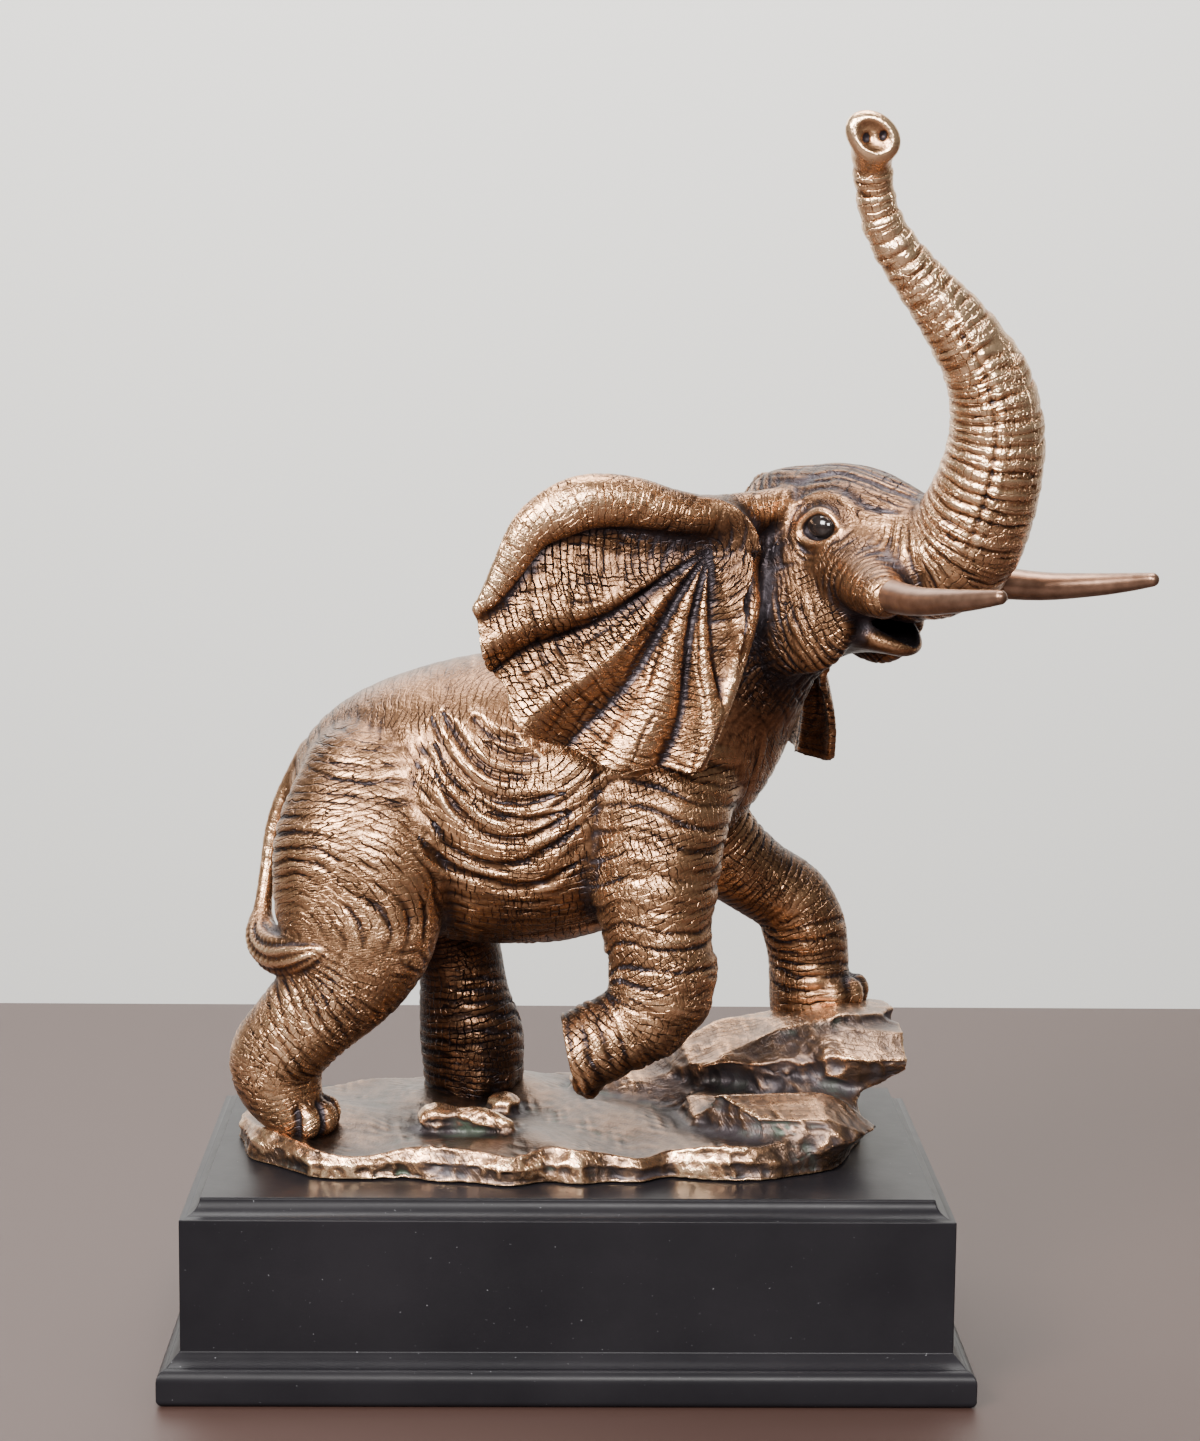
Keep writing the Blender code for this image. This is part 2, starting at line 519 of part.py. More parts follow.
def largest_piece(points, quads):
    """Drops crumbs and sealed hollows: keeps the piece with the most points."""
    label = np.arange(len(points))
    edges = np.vstack((quads[:, :2], quads[:, 1:3], quads[:, 2:]))
    while True:
        lowest = label.copy()
        least = np.minimum(label[edges[:, 0]], label[edges[:, 1]])
        np.minimum.at(lowest, edges[:, 0], least)
        np.minimum.at(lowest, edges[:, 1], least)
        lowest = lowest[lowest]
        if np.array_equal(lowest, label):
            break
        label = lowest
    names, counts = np.unique(label, return_counts=True)
    kept = label == names[counts.argmax()]
    order = np.cumsum(kept) - 1
    return points[kept], order[quads[kept[quads[:, 0]]]]


def material(name, colour, roughness, metallic):
    """A Principled material of one colour."""
    made = bpy.data.materials.new(name)
    made.use_nodes = True
    shader = made.node_tree.nodes["Principled BSDF"]
    shader.inputs["Base Color"].default_value = (*colour, 1)
    shader.inputs["Roughness"].default_value = roughness
    shader.inputs["Metallic"].default_value = metallic
    return made


def add_object(name, mesh, collection):
    """Links a mesh as an object."""
    made = bpy.data.objects.new(name, mesh)
    collection.objects.link(made)
    return made


def make_casting(collection):
    """The elephant and its rock, skinned off the clay and thinned to few triangles."""
    clay = Clay(CLAY_LOW, CLAY_HIGH, VOXEL)
    add_body(clay)
    add_head(clay)
    add_tusks(clay)
    add_ears(clay)
    add_rock(clay)
    add_feet(clay)
    cut_level(clay)
    points, quads = largest_piece(*clay.skin())
    points = points * UNIT
    points[:, 2] += PLINTH_HEIGHT + SEAT_GAP
    mesh = bpy.data.meshes.new("elephant_casting")
    mesh.from_pydata(points, [], quads)
    mesh.shade_smooth()
    casting = add_object("elephant_casting", mesh, collection)
    thin = casting.modifiers.new("Thin", "DECIMATE")
    thin.ratio = CASTING_TRIANGLES / (2 * len(quads))
    mesh.materials.append(material("bronze", (0.30, 0.13, 0.06), 0.38, 1.0))
    return casting


def arc(steps, first, last):
    """Sines and cosines of evenly spaced turns, in degrees."""
    for step in range(steps + 1):
        turn = math.radians(first + (last - first) * step / steps)
        yield math.sin(turn), math.cos(turn)


def plinth_profile():
    """Rings of the plinth from the underside up: how far out from the block, and how high."""
    foot_round = BASE_HEIGHT * 0.15
    nose_round = BASE_HEIGHT * 0.26
    nose_height = BASE_HEIGHT * 0.5
    rings = [(BASE_REACH - foot_round * (1 - sine), foot_round * (1 - cosine))
             for sine, cosine in arc(3, 0, 90)]
    rings += [(BASE_REACH - nose_round * (1 - cosine), nose_height + nose_round * sine)
              for sine, cosine in arc(4, 0, 75)]
    rings += [(BASE_REACH * 0.18, BASE_HEIGHT * 0.93), (0, BASE_HEIGHT)]
    cove_foot = PLINTH_HEIGHT - COVE_HEIGHT
    rings += [(-COVE_WIDTH * sine, cove_foot + COVE_HEIGHT * (1 - cosine))
              for sine, cosine in arc(6, 0, 90)]
    return rings


def make_plinth(collection):
    """A moulded block: one rectangle pulled up through the rings of its profile."""
    made = bmesh.new()
    bmesh.ops.create_grid(made, x_segments=1, y_segments=1, size=1)
    top = next(iter(made.faces))
    for reach, height in plinth_profile():
        if height > 0:
            top = bmesh.ops.extrude_discrete_faces(made, faces=[top])["faces"][0]
        for corner in top.verts:
            corner.co.x = math.copysign(PLINTH_LENGTH / 2 + reach, corner.co.x)
            corner.co.y = math.copysign(PLINTH_DEPTH / 2 + reach, corner.co.y)
            corner.co.z = height
    bmesh.ops.holes_fill(made, edges=made.edges)
    bmesh.ops.recalc_face_normals(made, faces=made.faces)
    mesh = bpy.data.meshes.new("plinth")
    made.to_mesh(mesh)
    made.free()
    mesh.materials.append(material("black_lacquer", (0.012, 0.012, 0.014), 0.35, 0.0))
    return add_object("plinth", mesh, collection)


def main():
    for old in list(bpy.data.objects):
        bpy.data.objects.remove(old)
    collection = bpy.data.collections.new("bronze_elephant_figurine")
    bpy.context.scene.collection.children.link(collection)
    make_casting(collection)
    make_plinth(collection)


main()
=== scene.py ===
"""Finish of the bronze elephant figurine: the carved skin and patina of its casting, the eyes,
the tusks, the rock and the lacquered plinth.

Places on the figure are in figure units, millimetres from the middle of the plinth's top, as in
the source of the solids. The skin of each piece is taken off a lump of distances, and every
point of it is then moved along its normal by the carving of the zone that it lies in.
"""
import math

import bmesh
import bpy
import numpy as np
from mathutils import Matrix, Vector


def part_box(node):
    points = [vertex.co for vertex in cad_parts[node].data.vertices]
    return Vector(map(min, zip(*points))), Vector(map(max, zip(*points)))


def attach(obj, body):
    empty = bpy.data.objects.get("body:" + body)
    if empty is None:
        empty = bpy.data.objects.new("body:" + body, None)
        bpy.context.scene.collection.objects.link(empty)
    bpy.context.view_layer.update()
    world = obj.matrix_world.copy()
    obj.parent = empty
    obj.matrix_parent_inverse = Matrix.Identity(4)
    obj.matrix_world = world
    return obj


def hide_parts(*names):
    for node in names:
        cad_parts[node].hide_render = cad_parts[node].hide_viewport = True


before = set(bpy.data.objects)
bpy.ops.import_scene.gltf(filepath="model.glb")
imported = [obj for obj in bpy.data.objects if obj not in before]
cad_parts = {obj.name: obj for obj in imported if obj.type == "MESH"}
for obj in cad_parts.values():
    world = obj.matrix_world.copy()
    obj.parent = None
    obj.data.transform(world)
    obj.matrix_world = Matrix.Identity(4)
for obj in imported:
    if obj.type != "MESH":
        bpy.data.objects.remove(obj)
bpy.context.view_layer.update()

import openvdb
from mathutils import Matrix, Vector

# The solids' boxes, in metres
CASTING_LOW, CASTING_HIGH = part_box("elephant_casting")
PLINTH_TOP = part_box("plinth")[1]

# The figure's height in figure units, one such unit and the figure's ground in metres, and a
# distance in figure units that counts as far outside
CLAY_HEIGHT = 315.0
UNIT = (CASTING_HIGH[2] - CASTING_LOW[2]) / CLAY_HEIGHT
SEAT = CASTING_LOW[2]
FAR = 60.0

# Stations are (x, y, z, half-depth, half-width); the width lies along the limb's side axis
TORSO = [(-70, 3, 101, 26, 17), (-60, 3, 103.5, 34.5, 26.5), (-46, 3, 107, 40.5, 33),
         (-28, 3, 108, 45, 36), (-4, 3, 111, 46.5, 36), (14, 3, 122.5, 41.5, 34),
         (29, 2, 132, 37.5, 31), (40, 0, 146, 32, 27)]
NECK = [(27, 2, 138, 33, 29), (42, -3, 154, 30, 26), (58, -9, 170, 27, 23), (72, -14, 182, 25, 21)]
NEAR_HIND_LEG = [(-58, -12, 116, 24, 18), (-62, -18, 98, 28, 20), (-64, -21, 82, 26.5, 19),
                 (-64, -23, 70, 23.5, 18), (-67, -24, 59, 18.5, 16.5), (-76, -23, 48.5, 16, 15),
                 (-84, -22, 39.5, 14.8, 14.5), (-89.5, -21, 31.5, 14.5, 14),
                 (-89, -20, 24, 13.2, 13.5), (-86, -19.5, 17, 10.5, 12.5), (-83, -19, 12, 8.5, 11)]
FAR_HIND_LEG = [(-50, 16, 112, 28, 18), (-47, 22, 90, 23, 18), (-40, 28, 70, 17, 16),
                (-35, 31, 52, 13.8, 14), (-33, 31, 36, 15, 14.5), (-31, 31, 26, 16.8, 16),
                (-30.5, 31, 18, 16.5, 16), (-31, 31, 11, 15.5, 15)]
NEAR_FORE_LEG = [(28, -15, 124, 25, 17), (27, -20, 108, 21.5, 19), (25.7, -25, 90, 19.6, 18),
                 (26.5, -28, 72, 16.3, 16), (28.5, -30, 58, 16.3, 15), (23, -31, 47, 13.6, 13.5),
                 (13, -31.5, 41.5, 12.4, 12.5), (7, -32, 38.4, 12.8, 13), (3.5, -32, 36.6, 12.6, 13)]
FAR_FORE_LEG = [(31, 18, 114, 20, 17), (38.5, 24, 101, 17.5, 16), (48, 28, 89, 15, 14.5),
                (60.5, 32, 78.5, 13, 13.5), (72, 34, 70.5, 13, 13), (76.8, 35, 61, 13.6, 12.5),
                (78.5, 36, 52, 13.2, 12.5), (79, 36, 44, 13.2, 13.5), (80, 36, 37, 14, 14)]
TORSO_MIDDLE = 3
NECK_SIDE = (-0.3, -0.95, 0)
FLANK_FOLDS = [[(-39, 139), (-33.3, 131.3), (-29.4, 126.1), (-22.5, 121.6), (-12, 120.8)],
               [(-42, 137.2), (-37.5, 127.3), (-32.4, 121.3), (-26.4, 116.1), (-15, 113.4), (-2, 116.3)],
               [(-41, 130), (-35, 119.5), (-29.4, 115.2), (-22.4, 110.1), (-12.5, 107.7), (-1, 110.8)],
               [(-40.5, 121), (-33.2, 109.7), (-26.3, 103.7), (-18.5, 101.6), (-9.5, 103.8), (0, 110)],
               [(-41.3, 106.6), (-36.2, 99.3), (-27.2, 94.5), (-17.3, 93.6), (-7.4, 98), (2.5, 105.7)],
               [(-45.8, 102.9), (-37.4, 93.8), (-27.2, 89), (-12.1, 86.5), (2, 94)],
               [(-30, 138), (-24, 133), (-15, 130.5)], [(-26, 131), (-19, 127.5), (-10, 126.5)]]
FLANK_SPACE = ((-72, -50, 76), (54, 56, 142))
FOLD_DEPTH = 1.0
FOLD_WIDTH = 1.3
TAPER = 8.0
TAIL = [(-81, 3, 122, 4, 4), (-88.3, 2.5, 109, 3.2, 3.2), (-92, 1.5, 98, 2.9, 2.9),
        (-93.8, -1, 86, 2.6, 2.6), (-95, -5, 75, 2.9, 2.9), (-95, -10, 69, 5, 4.4),
        (-92.5, -17, 66, 6.8, 5.4), (-88, -25, 65, 7, 5.6), (-82, -32, 66, 5.6, 5),
        (-77.5, -36, 67.5, 3.4, 3.4), (-75, -38, 68.5, 1.8, 1.8)]
TRUNK = [(90, -29, 186.5, 17.5, 19), (103, -40, 187, 17, 18.5), (112, -47, 191.5, 17, 17.5),
         (117, -53, 203, 16, 16), (120, -58, 216, 14.6, 14.6), (120.5, -61, 228, 13.4, 13.4),
         (117, -64.5, 242, 11.8, 11.8), (107.8, -68, 256, 9.6, 9.6), (98.2, -71, 267, 7.7, 7.7),
         (89, -74, 278, 6.4, 6.4), (84, -76, 287, 5.7, 5.7), (82, -78, 295, 5.4, 5.4),
         (81, -80.5, 301, 5.6, 5.6), (80.5, -84, 306, 5.6, 5.6)]
TRUNK_RINGS = (0.3, 7.0)
LEG_RINGS = (0.5, 8.0)
NO_RINGS = (0.0, 1.0)
TIP_AT = np.array((80.3, -87.0, 308.3))
TIP_LEAN = math.radians(33)
TIP_AXES = np.array(((math.cos(TIP_LEAN), 0, -math.sin(TIP_LEAN)), (0, -1, 0),
                     (math.sin(TIP_LEAN), 0, math.cos(TIP_LEAN)))).T
TIP_SIZE = (8.2, 3.4, 6.3)
TIP_HOLLOW = (6.3, 2.2, 4.4)
NOSTRILS = [(-1.9, 1.0), (2.6, 1.6)]
NOSTRIL_SIZE = (1.4, 4.0, 1.6)
NOSTRIL_DROP = 1.6
SOLE_AT = (-2.7, 48)
SOLE_LEAN = 0.21
SOLE_SPACE = ((-16, -52, 16), (12, -12, 60))

# The head's own axes: forward, to its near side, up
HEAD_TURN = math.radians(-45)
HEAD_AT = np.array((86.0, -25.0, 190.0))
HEAD_AXES = np.array(((math.cos(HEAD_TURN), math.sin(HEAD_TURN), 0),
                      (math.sin(HEAD_TURN), -math.cos(HEAD_TURN), 0),
                      (0, 0, 1))).T
NEAR_AXIS = HEAD_AXES[:, 1]
SKULL = [((-8, 0, 2), (30, 21, 23), 10), ((4, 0, 8), (24, 16, 13), 6),
         ((-23, 7, 12), (13, 11, 11), 5), ((-23, -7, 12), (13, 11, 11), 5),
         ((-6, 17, -20), (17, 8, 17), 7), ((-6, -17, -20), (17, 8, 17), 7)]
JAW = [(-10, 0, -18, 12, 15), (0, 0, -21, 10, 14), (8, 0, -23.8, 7, 12.5), (14, 0, -26, 4.8, 10.5),
       (18, 0, -27.8, 3.3, 7), (19.8, 0, -28.2, 2.2, 3.5)]
MOUTH = [(4, 0, -15, 5, 8), (9, 0, -19, 5, 9.5), (14, 0, -21.4, 4.4, 8.5), (18, 0, -24.7, 3.2, 5),
         (20, 0, -26.4, 1.9, 2.5)]
TUSK = [(26, 24.5, -9.5, 5.2, 5.2), (44, 31, -10.2, 4.3, 4.3), (60, 35, -8.8, 3.5, 3.5),
        (71, 36.5, -7.3, 2.8, 2.8), (79, 37, -6, 2.1, 2.1)]
TUSK_SHEATH = [(8, 12, -4, 11, 11), (20, 20, -8, 9, 9), (30, 26, -10, 7, 7)]

# How softly each part melts into the lump
NECK_MELT = 10
FAR_LEG_MELT = 5
NEAR_LEG_MELT = 3.5
TAIL_MELT = 1.5
HEAD_MELT = 6
MOUTH_MELT = 1.2
TIP_MELT = 2.5
HOLLOW_MELT = 0.8
NOSTRIL_MELT = 0.5
EAR_MELT = 2
ROLL_MELT = 3
ROCK_MELT = 3
CLUMP_MELT = 2
TOE_MELT = 2.5

# Ears: the rim as (degrees above the rearward line, reach) and the pleats as (degrees, lift),
# which sway by so many degrees with a wave so long along them
NEAR_EAR_PIVOT = (40, -36, 190)
NEAR_EAR_REAR = (-1, 0)
NEAR_EAR_SPACE = ((-36, -66, 116), (66, -20, 222))
FAR_EAR_PIVOT = (70, 8, 188)
FAR_EAR_SIZE = 1.08
FAR_EAR_AZIMUTH = math.radians(112)
FAR_EAR_SPACE = ((20, -5, 108), (110, 94, 222))
FAR_EAR_REAR = (math.cos(FAR_EAR_AZIMUTH), math.sin(FAR_EAR_AZIMUTH))
EAR_RIM = [(-180, 12), (-125.5, 17), (-106, 32), (-95, 46), (-87.4, 65), (-78, 64.5), (-66, 69.5),
           (-56, 70.5), (-47, 75), (-39, 75.5), (-34, 71), (-28, 74), (-12.8, 69.7), (1, 60),
           (23, 45), (38.7, 27), (60, 19), (80, 15), (131, 15)]
EAR_PLEATS = [(-180, 0), (-112, 0.5), (-97, -0.5), (-87, 0.9), (-78, -0.7), (-73, 0.6), (-66, 0.8),
              (-57, -1.2), (-45, 1.3), (-38, 0.2), (-32, -1), (-26, 0.9), (-14, 0.3), (0, -0.4),
              (20, 0), (180, 0)]
RIM_EASE = 4
PLEAT_EASE = 5
PLEAT_LIFT = 5.0
PLEAT_SWAY = (2.5, 11)
EAR_HALF_THICK = 1.2
EAR_ROOT_LIFT = 2.0
EAR_SPLAY = 7.0
SHEET_SLOPE = 0.85
RIM_SLOPE = 0.8
EAR_ROLL = [(62, -27, 202, 6, 5), (48.6, -33, 200.5, 6.2, 5.5), (34, -40, 200.5, 6.1, 5.5),
            (17.6, -45, 204.5, 7.4, 6), (5, -48, 205, 8, 6), (-3.6, -50, 202.5, 8, 5.5),
            (-12.3, -51, 197, 6.5, 5), (-18.6, -51.5, 187, 5, 4), (-23.9, -52, 178, 3.4, 3),
            (-27.6, -52, 174, 2, 2)]
EAR_ROOT = [(51, -26, 197, 7, 7), (51, -28, 184, 7, 7), (47.5, -30, 169, 6.5, 6.5),
            (43, -33, 154, 5, 5), (40, -36, 144, 3.5, 3.5)]
EAR_FRONT = [(50, -31, 190, 3, 3), (53, -36, 175, 2.8, 2.8), (49, -41, 158, 2.6, 2.6),
             (43, -45, 140, 2.2, 2.2), (38, -47, 127, 1.6, 1.6)]

# Rock: the slab's rim as (degrees, reach) about its middle, and the crags as
# (x, y, z, half-length, half-depth, half-height, turn, climb to +X, seed)
SLAB_MIDDLE = (-4, 0)
SLAB_HEIGHT = 9.0
SLAB_RIM = [(-180, 101), (-165, 97), (-150, 84), (-136, 66), (-120, 56), (-105, 52), (-90, 50),
            (-70, 50), (-50, 58), (-36, 76), (-22, 90), (-8, 97), (10, 96), (25, 78), (40, 64),
            (60, 54), (90, 50), (120, 54), (150, 78), (165, 94), (180, 101)]
SLAB_SPACE = ((-112, -62, -3), (110, 66, 26))
SLAB_RIPPLES = [(1.6, 9, 0), (1.2, 17, 1)]
SLAB_HILLS = (1.6, 13, 11)
SLAB_HUMPS = (1.0, 7, 9)
SLAB_BEVEL_FROM = 0.55
CRAGS = [(78, 20, 28.5, 28, 24, 9.5, -6, 11, 3), (88.5, 4, 26, 14, 15, 9, 20, 8, 5),
         (62, 22, 20, 32, 26, 13, 4, 10, 8), (76, 20, 12, 22, 32, 14, 0, 4, 2),
         (68, -22, 9, 25, 20, 11, -14, 3, 11), (48, -8, 10, 14, 16, 7, 24, 6, 6),
         (22, 24, 10, 18, 16, 8, 10, 8, 9)]
CRAG_FACETS = 26
LOG = [(-34, -22, 12, 4, 4), (-26, -26, 13.5, 3.6, 3.6), (-19, -30, 12, 3, 3)]
MOSS = [(-40, -20, 12, 7), (52, -20, 13, 6), (-20, 6, 9, 6)]

# Toes of each foot: its middle, the toe circle's radius, the direction they face, height
FEET = [((-84, -19.5), 10, -25, 13), ((-31, 31), 12.5, -40, 13), ((84, 36), 10.5, -40, 40)]
TOE_SPREAD = 38
TOE_SIZE = 4.2

# Carving: the leg creases as (x, z), the middles of the arcs on flank and rump, the ear's creases
# in degrees, where the lip along its rolled edge begins and lies, how far round the trunk its back
# is, and where on its run the mouth of the tip begins
LEG_CREASES = [[(-40.8, 138.2), (-42.8, 132.1), (-47.3, 121.5), (-48.2, 113), (-47.9, 102.9),
                (-45.8, 96.2), (-43.7, 88)],
               [(6.7, 126), (7.7, 114.2), (7.5, 101.8), (7.7, 87)]]
FOLD_CENTRE = (-15, 140)
RUMP_CENTRE = (-84, 72)
EAR_CREASES = [-94, -78, -57, -31]
LIP_FROM = 62
LIP_OFF = 1.0
TRUNK_BACK = 2.2
TRUNK_MOUTH = 156

# Places painted darker as shade or brighter as light: middle, reaches along the axes, how much darker
PAINTED_LIGHT_AND_SHADE = [((40, -36, 190), (22, 20, 22), 0.30), ((14, -44, 186), (28, 20, 10), 0.20),
         ((90, -30, 214), (20, 24, 10), 0.20), ((-78, -24, 42), (26, 24, 30), -0.16),
         ((112, -55, 272), (60, 60, 55), -0.36)]

# The eyes, their lids and brows, in the head's own axes
EYE_AT = (0, 20.2, 7.4)
EYE_DEPTH = 2.5
EYE_SIZE = (5.2, 3.8, 4.2)
EYE_SOCKET = (6.0, 2.2, 4.8)
LIDS = [[(-7.4, 20.6, 4.2, 0.5, 0.5), (-5.4, 20.2, 8.8, 0.9, 0.9), (-0.8, 19.2, 11.8, 1.3, 1.3),
         (4.0, 18.9, 10.8, 1.1, 1.1), (8.0, 19.0, 7.0, 0.5, 0.5)],
        [(-7.4, 20.6, 4.2, 0.4, 0.4), (-3.6, 21.0, 2.9, 0.5, 0.5), (1, 21.3, 2.5, 0.6, 0.6),
         (5.0, 20.6, 3.8, 0.5, 0.5), (8.0, 19.0, 7.0, 0.4, 0.4)],
        [(-9.5, 18.0, 13.4, 0.5, 0.5), (-3, 16.0, 16.4, 1.1, 1.1), (4, 15.0, 16.0, 1.1, 1.1),
         (10, 15.4, 12.8, 0.5, 0.5)]]
LID_MELT = 1.4

# Height below which the near hind foot's toes are carved, and the lifted foot's toes as
# (x, y, z, size)
TOE_TOP = 20
FORE_TOES = [(4.5, -40, 30, 3.6), (6.5, -34, 26.5, 3.8), (8.5, -27.5, 26.5, 3.6)]

# How far a piece runs on past its neighbour's edge and dips there, how far out a recess is felt
# for, and how far a surface is smoothed to tell what stands out of it
BAND = 2.0
BAND_DIP = 0.5
OPEN_REACHES = (1.5, 3.0, 6.0)
FINE_REACH = 0.8
BROAD_REACH = 3.0

# Pieces of the skin: name, part, corners, size of the grid's cells, and start and end along X
SKIN_PIECES = [("body_rear", "body", (-110, -56, -2), (-18, 62, 160), 0.85, (None, -30)),
               ("body_middle", "body", (-34, -62, -2), (26, 62, 176), 0.85, (-30, 14)),
               ("body_front", "body", (10, -62, -2), (104, 62, 206), 0.85, (14, None)),
               ("head_and_trunk", "head", (40, -110, 150), (140, 20, 322), 0.62, (None, None)),
               ("near_ear", "near_ear", (-40, -70, 112), (80, -10, 224), 0.62, (None, None)),
               ("far_ear", "far_ear", (20, -12, 104), (112, 92, 226), 0.90, (None, None))]
ROCK_SPACE = ((-112, -66, -4), (112, 66, 56))
ROCK_VOXEL = 0.86
TUSK_VOXEL = 0.6
TUSK_MARGIN = 9

# Plinth, in metres
BASE_HEIGHT = 0.015
BASE_REACH = 0.0065
COVE_WIDTH = 0.0057
COVE_HEIGHT = 0.0052
EDGE_EASE = 0.0004

# Colours of the bronze from its recesses to its rubbed ridges
SKIN_SHADES = [(0.0, (0.014, 0.009, 0.009)), (0.25, (0.055, 0.030, 0.020)), (0.5, (0.21, 0.108, 0.056)),
               (0.75, (0.56, 0.31, 0.165)), (1.0, (0.95, 0.64, 0.39))]
ROCK_SHADES = [(0.0, (0.022, 0.016, 0.014)), (0.3, (0.085, 0.054, 0.040)), (0.55, (0.20, 0.122, 0.080)),
               (0.8, (0.52, 0.29, 0.160)), (1.0, (0.92, 0.62, 0.38))]
DUST = (0.125, 0.105, 0.125, 1)

# How far each of these brightens the bronze
BASE_WEAR = -0.38
FINE_WEAR = 1.3
OPEN_WEAR = 0.80
CUT_WEAR = 0.46
PATCH_WEAR = 0.36
SPECKLE_WEAR = 0.2
EDGE_WEAR = 0.22

# Dust gathers where the bronze is neither open nor worn, in clouds; each value is for 1 of its cause
DUST_BASE = 1.7
DUST_IN_OPEN = -1.6
DUST_ON_WORN = -1.4
DUST_CLOUDS = (-0.7, 2.4)
DUST_COVER = 0.6

# Verdigris spreads where the bronze is least worn, in patches
CRUST_ON_WORN = -3.0
CRUST_PATCHES = (-2.0, 4.0)

# How metallic and how rough the bronze is, its relief's parts, and its bump as (strength, metres)
METAL = 0.95
METAL_UNDER_DUST = -0.4
METAL_UNDER_CRUST = -0.6
ROUGHNESS = 0.31
ROUGHNESS_WHERE_WORN = -0.16
ROUGHNESS_IN_GRAIN = 0.16
ROUGHNESS_IN_DUST = 0.15
CUT_RELIEF = -0.8
GRAIN_RELIEF = 0.35
SKIN_BUMP = (0.85, 0.0005)
TUSK_BUMP = (0.1, 0.0004)
LACQUER_BUMP = (0.06, 0.0003)

# Scales of the noise, in waves to a metre
PATCH_SCALE = 60.0
SPECKLE_SCALE = 1500.0
CLOUD_SCALE = 45.0
CRUST_SCALE = 52.0
GLOSS_SCALE = 700.0
RELIEF_SCALE = 1100.0
TUSK_SCALE = 260.0
EYE_SCALE = 500.0
LACQUER_SCALE = 22.0
SPECK_SCALE = 900.0
SHEEN_SCALE = 140.0
PEEL_SCALE = 420.0

# Fine cuts: bricks as (length, height) in figure units and the joint's share of the length, rows
# as (spacing, share), the net as (cells to a unit, share), then for each the scale and the spread
# of the patches that show it, and how far and how finely the cuts wander
BRICK_CUTS = (2.6, 3.9, 0.11)
ROW_CUTS = (2.1, 0.14)
NET_CUTS = ((0.62, 0.34, 1.0), 0.085)
BRICK_PATCHES = (110.0, 0.4)
ROW_PATCHES = (130.0, 0.65)
NET_PATCHES = (75.0, 0.3)
CUT_DRIFT = 2.2
DRIFT_SCALE = 230.0

# Other colours
VERDIGRIS = (0.045, 0.075, 0.045, 1)
TUSK_SHADES = [(0.2, (0.13, 0.070, 0.046)), (0.8, (0.30, 0.175, 0.118))]
EYE_SHADES = [(0.3, (0.006, 0.005, 0.005)), (0.8, (0.02, 0.014, 0.012))]
LACQUER_SHADES = [(0.3, (0.006, 0.0055, 0.007)), (0.7, (0.011, 0.010, 0.012))]
SPECK = (0.16, 0.16, 0.17, 1)

# Camera and stage, in metres and radians
CAMERA_AT = (-0.0101, -0.9192, 0.3301)
CAMERA_DOWN = math.radians(8.41)
CAMERA_ROLL = math.radians(-0.57)
CAMERA_TURN = math.radians(-1.2)
CAMERA_SENSOR = 36
CAMERA_LENS = 74.95
STAGE_REACH = 5.0
TABLE_BACK = 0.42
WALL_BACK = 1.7
TABLE_FINISH = ((0.035, 0.016, 0.012), 0.55)
WALL_FINISH = ((0.84, 0.83, 0.80), 0.8)
WORLD_COLOUR = (0.85, 0.84, 0.82, 1)
WORLD_STRENGTH = 0.16

# Lamps: name, place, target, size, watts and colour
LAMPS = [("key", (-0.75, -1.0, 1.0), (0, 0, 0.2), 0.6, 62, (1, 0.98, 0.95)),
         ("front", (0.15, -1.35, 0.8), (0, 0, 0.25), 0.4, 26, (1, 0.98, 0.96)),
         ("back", (-0.5, 0.8, 0.9), (0, 0, 0.2), 0.6, 4, (0.96, 0.98, 1)),
         ("wall", (0, 0.5, 2.2), (0, 1.7, 0.6), 1.5, 130, (1, 0.99, 0.97))]


def smooth_min(first, second, blend):
    """Union of two distance fields, melted into each other over the blend width."""
    if blend <= 0:
        return np.minimum(first, second)
    near = np.maximum(blend - np.abs(first - second), 0) / blend
    return np.minimum(first, second) - near * near * blend / 4


def through(stations, steps=4):
    """Catmull-Rom curve through stations; the radii run along with the places."""
    rows = np.array(stations, float)
    rows = np.vstack((2 * rows[0] - rows[1], rows, 2 * rows[-1] - rows[-2]))
    curve = []
    for before, start, end, after in zip(rows, rows[1:], rows[2:], rows[3:]):
        for t in np.arange(steps) / steps:
            curve.append(start + 0.5 * t * (end - before
                         + t * (2 * before - 5 * start + 4 * end - after
                                + t * (3 * start - before - 3 * end + after))))
    curve.append(rows[-2])
    curve = np.array(curve)
    curve[:, 3:] = np.maximum(curve[:, 3:], 0.5)
    return curve


